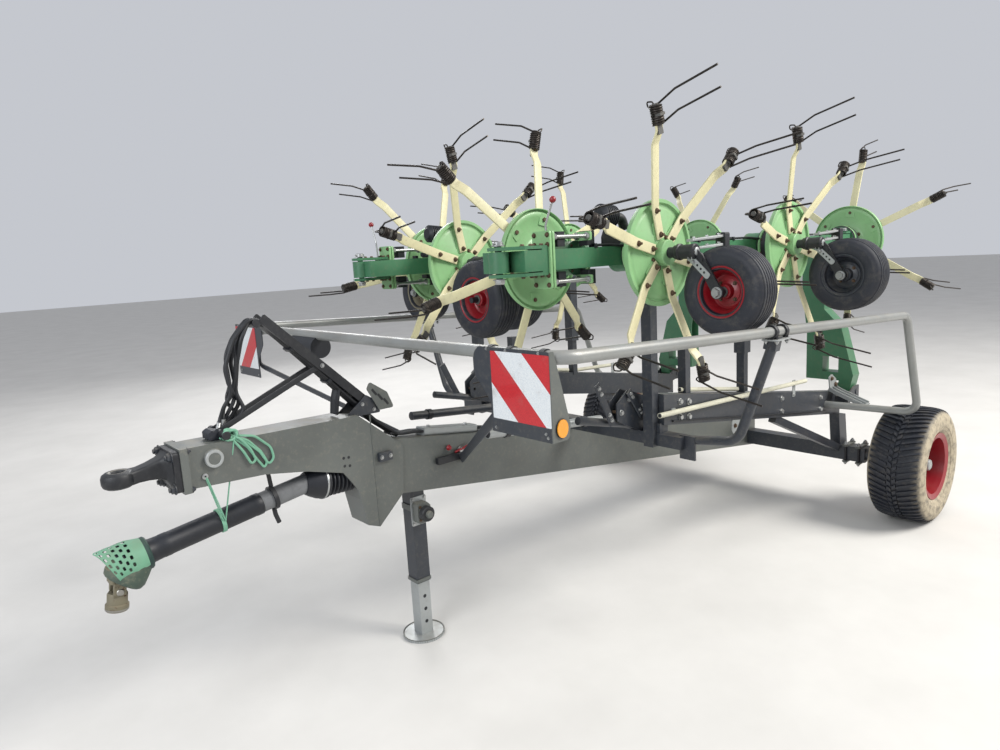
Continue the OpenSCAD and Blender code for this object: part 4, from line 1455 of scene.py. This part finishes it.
def side_pipes(piece, side):
    """The pale pipes along the side beam with their clips, and the tube beside the drawbar."""
    pipes = (((2190, 776, 1078), (565, 776, 1000), 14),
             ((1900, 700, side_low(1900) + 183), (1300, 700, side_low(1300) + 183), 13))
    for start, end, r in pipes:
        ends = [A(start[0], side * start[1], start[2]), A(end[0], side * end[1], end[2])]
        piece.tube(ends, r, 18, PIPE)
        for k, at in enumerate(ends):
            away = (ends[0] - ends[1]).normalized() * (1 if k == 0 else -1)
            piece.lathe(frame_at(at, away), [(0, 1.2), (r * 0.62, 1.2), (r * 0.8, 0)], 18, BLACK)
    for x in (2050, 1300, 700):
        z = 1000 + (x - 565) * 0.048
        low = min(z - 20, side_low(x) + 135)
        clip = rect(x - 18, low, x + 18, z + 19, 6)
        piece.side_plate(clip, side * 762.5, 4, PALE)
        piece.bolt(A(x, side * 764.5, low + 12), (0, side, 0), 8, ZINC)
    run = [A(2980, side * 330, 1082), A(2600, side * 340, 1041), A(2165, side * 350, 995)]
    piece.tube(run, 24, 20, PALE if side > 0 else SHADED_PAINT)
    mouth = frame_at(run[0], run[0] - run[1])
    piece.lathe(mouth, [(0, 1), (18.5, 1), (21.5, 0)], 24, BLACK)
    for x, y, z in ((2860, 333, 1069), (2300, 347, 1009)):
        clamp = frame_at(A(x, side * y, z), run[0] - run[2])
        piece.lathe(clamp, ring(24.2, 30, -14, 14), 28, BLACK)


def rest_support(piece, side):
    """The ribs, the stay and the bolted straps at the front end of the side beam."""
    rib = rounded([(2080, 970), (2160, 970), (2352, 1058), (2352, 1150), (2262, 1212), (2080, 1140)], 16)
    for y in (574, 626):
        piece.side_plate(rib, side * y, 8, SHADED_PAINT)
    for x, z in ((2110, 1005), (2140, 1100), (2250, 1160), (2320, 1100)):
        pin = frame_at(A(x, side * 570, z), (0, side, 0))
        piece.lathe(pin, puck(9, 0, 60), 16, BOLT)
        piece.bolt(A(x, side * 630, z), (0, side, 0), 14, ZINC)
    stay = [A(2155, side * 600, 1000), A(2620, side * 600, 1112)]
    piece.tube(stay, 21, 18, SHADED_PAINT)
    piece.lathe(frame_at(stay[1], stay[1] - stay[0]), [(0, 1), (16, 1), (19, 0)], 22, BLACK)
    for low, high in (((2404, 1058), (2516, 1282)), ((2158, 1060), (2268, 1206))):
        strap = [A(low[0], side * 640, low[1]), A(high[0], side * 640, high[1])]
        piece.bar(strap, 42, 10, 4, SHADED_PAINT, LEFT)
        for t in (0.10, 0.24, 0.76, 0.90):
            at = strap[0].lerp(strap[1], t)
            piece.bolt(at + Vector((0, side * 5, 0)), (0, side, 0), 10, ZINC)


def beam_brackets(piece, side):
    """The side beam's bolts, the strap over the wheel and its bracket."""
    for x in (1985, 1905, 860, 300):
        for lift in (40, 125):
            piece.bolt(A(x, side * 760, side_low(x) + lift), (0, side, 0), 16, ZINC)
    strap = [A(120, side * 768, 868), A(136, side * 820, 848), A(160, side * 1010, 786)]
    piece.bar(strap, 100, 8, 3, PALE)
    for dx in (-47, 0, 47):
        edge = [p + Vector((dx, 0, 10)) for p in strap]
        piece.bar(edge, 7, 22, 2, PALE)
    for t in (0.25, 0.55, 0.85):
        at = strap[1].lerp(strap[2], t)
        for dx in (-24, 24):
            piece.bolt(at + Vector((dx, 0, 4)), (0, 0.3, 0.95), 9, ZINC)
    upright = rounded([(52, 872), (168, 872), (186, 962), (140, 978), (76, 938)], 12)
    piece.side_plate(upright, side * 766, 8, PALE)
    for x, z in ((88, 898), (150, 948)):
        piece.bolt(A(x, side * 770, z), (0, side, 0), 14, BOLT)


def axle_clamps(piece, side):
    """The threaded rods and pads that clamp the axle."""
    for y in (842, 932):
        for x in (-58, 58):
            rod = [A(x, side * y, 322), A(x, side * y, 462)]
            piece.tube(rod, 8, 12, BLACK)
            piece.bolt(A(x, side * y, 330), DOWN, 15, ZINC, 8)
            piece.bolt(A(x, side * y, 458), UP, 15, ZINC, 8)
        for z in (333, 449.5):
            pad = rect(-76, -18, 76, 18, 6)
            at = frame_at(A(0, side * y, z), UP, AHEAD)
            piece.prism(at, pad, -5, 5, CHASSIS)


def beam_shield(piece, side):
    """The shield under the side beam and the loose hose along it."""
    shield = rounded([(1330, side_low(1330) + 4), (1470, side_low(1470) + 4), (1470, side_low(1470) - 55),
                      (1440, side_low(1440) - 95), (1360, side_low(1360) - 95),
                      (1330, side_low(1330) - 50)], 12)
    piece.side_plate(shield, side * 764, 6, PALE)
    for dx in (30, 110):
        piece.bolt(A(1330 + dx, side * 767, side_low(1330 + dx) - 30), (0, side, 0), 12, BOLT)
    loose = [A(2060, side * 765, side_low(2060) + 20), A(1700, side * 765.5, side_low(1700) + 22),
             A(1200, side * 765, side_low(1200) + 22), A(500, side * 765.5, side_low(500) + 24),
             A(240, side * 765.5, side_low(240) + 30)]
    piece.tube(loose, 5.5, 10, HOSE)


def build_chassis_fittings(side, word):
    """What is bolted to one side beam, its guard rail and the axle."""
    piece = Piece("chassis_fittings_" + word, SHADED_PAINT, BLACK, PALE, PIPE, ZINC, BOLT, HOSE)
    for fit in (rail_clamps, side_pipes, rest_support, beam_brackets, axle_clamps, beam_shield):
        fit(piece, side)
    piece.done("chassis", "black_paint")


build_chassis_fittings(1, "left")
build_chassis_fittings(-1, "right")


# Stage and light

def build_stage():
    """A plain pale floor, with its horizon out of sight."""
    reach = 60000
    floor = Piece("floor", floor_paint())
    floor.prism(None, [(-reach, -reach), (reach, -reach), (reach, reach), (-reach, reach)], -20, 0)
    mesh = bpy.data.meshes.new("floor")
    mesh.from_pydata(floor.vertices, [], floor.faces)
    mesh.materials.append(floor.materials[0])
    place_in_scene(bpy.data.objects.new("floor", mesh))


def area_light(name, place, target, size, power, colour=(1.0, 1.0, 1.0)):
    """A soft round lamp that looks at a point; here places are in metres."""
    lamp = bpy.data.lights.new(name, "AREA")
    lamp.shape = "DISK"
    lamp.size = size
    lamp.energy = power
    lamp.color = colour
    made = place_in_scene(bpy.data.objects.new(name, lamp))
    made.matrix_world = frame_at(place, Vector(place) - Vector(target))


def build_light():
    """Soft studio light: a large key from the photo's right, a fill and a pale sky."""
    area_light("key", (-4.5, 7.0, 8.0), (0.0, 0.0, 0.8), 5.0, 1500.0, (1.0, 0.97, 0.92))
    area_light("fill", (8.5, 2.0, 5.0), (0.0, 0.0, 0.9), 6.0, 420.0, (0.93, 0.96, 1.0))
    area_light("back", (-3.0, -8.0, 6.0), (0.0, 0.0, 1.0), 5.0, 420.0)
    world = bpy.data.worlds.new("world")
    bpy.context.scene.world = world
    world.use_nodes = True
    background = world.node_tree.nodes["Background"]
    background.inputs[0].default_value = (0.90, 0.93, 1.0, 1.0)
    background.inputs[1].default_value = 0.62


build_stage()
build_light()
bpy.context.scene.view_settings.view_transform = "Standard"
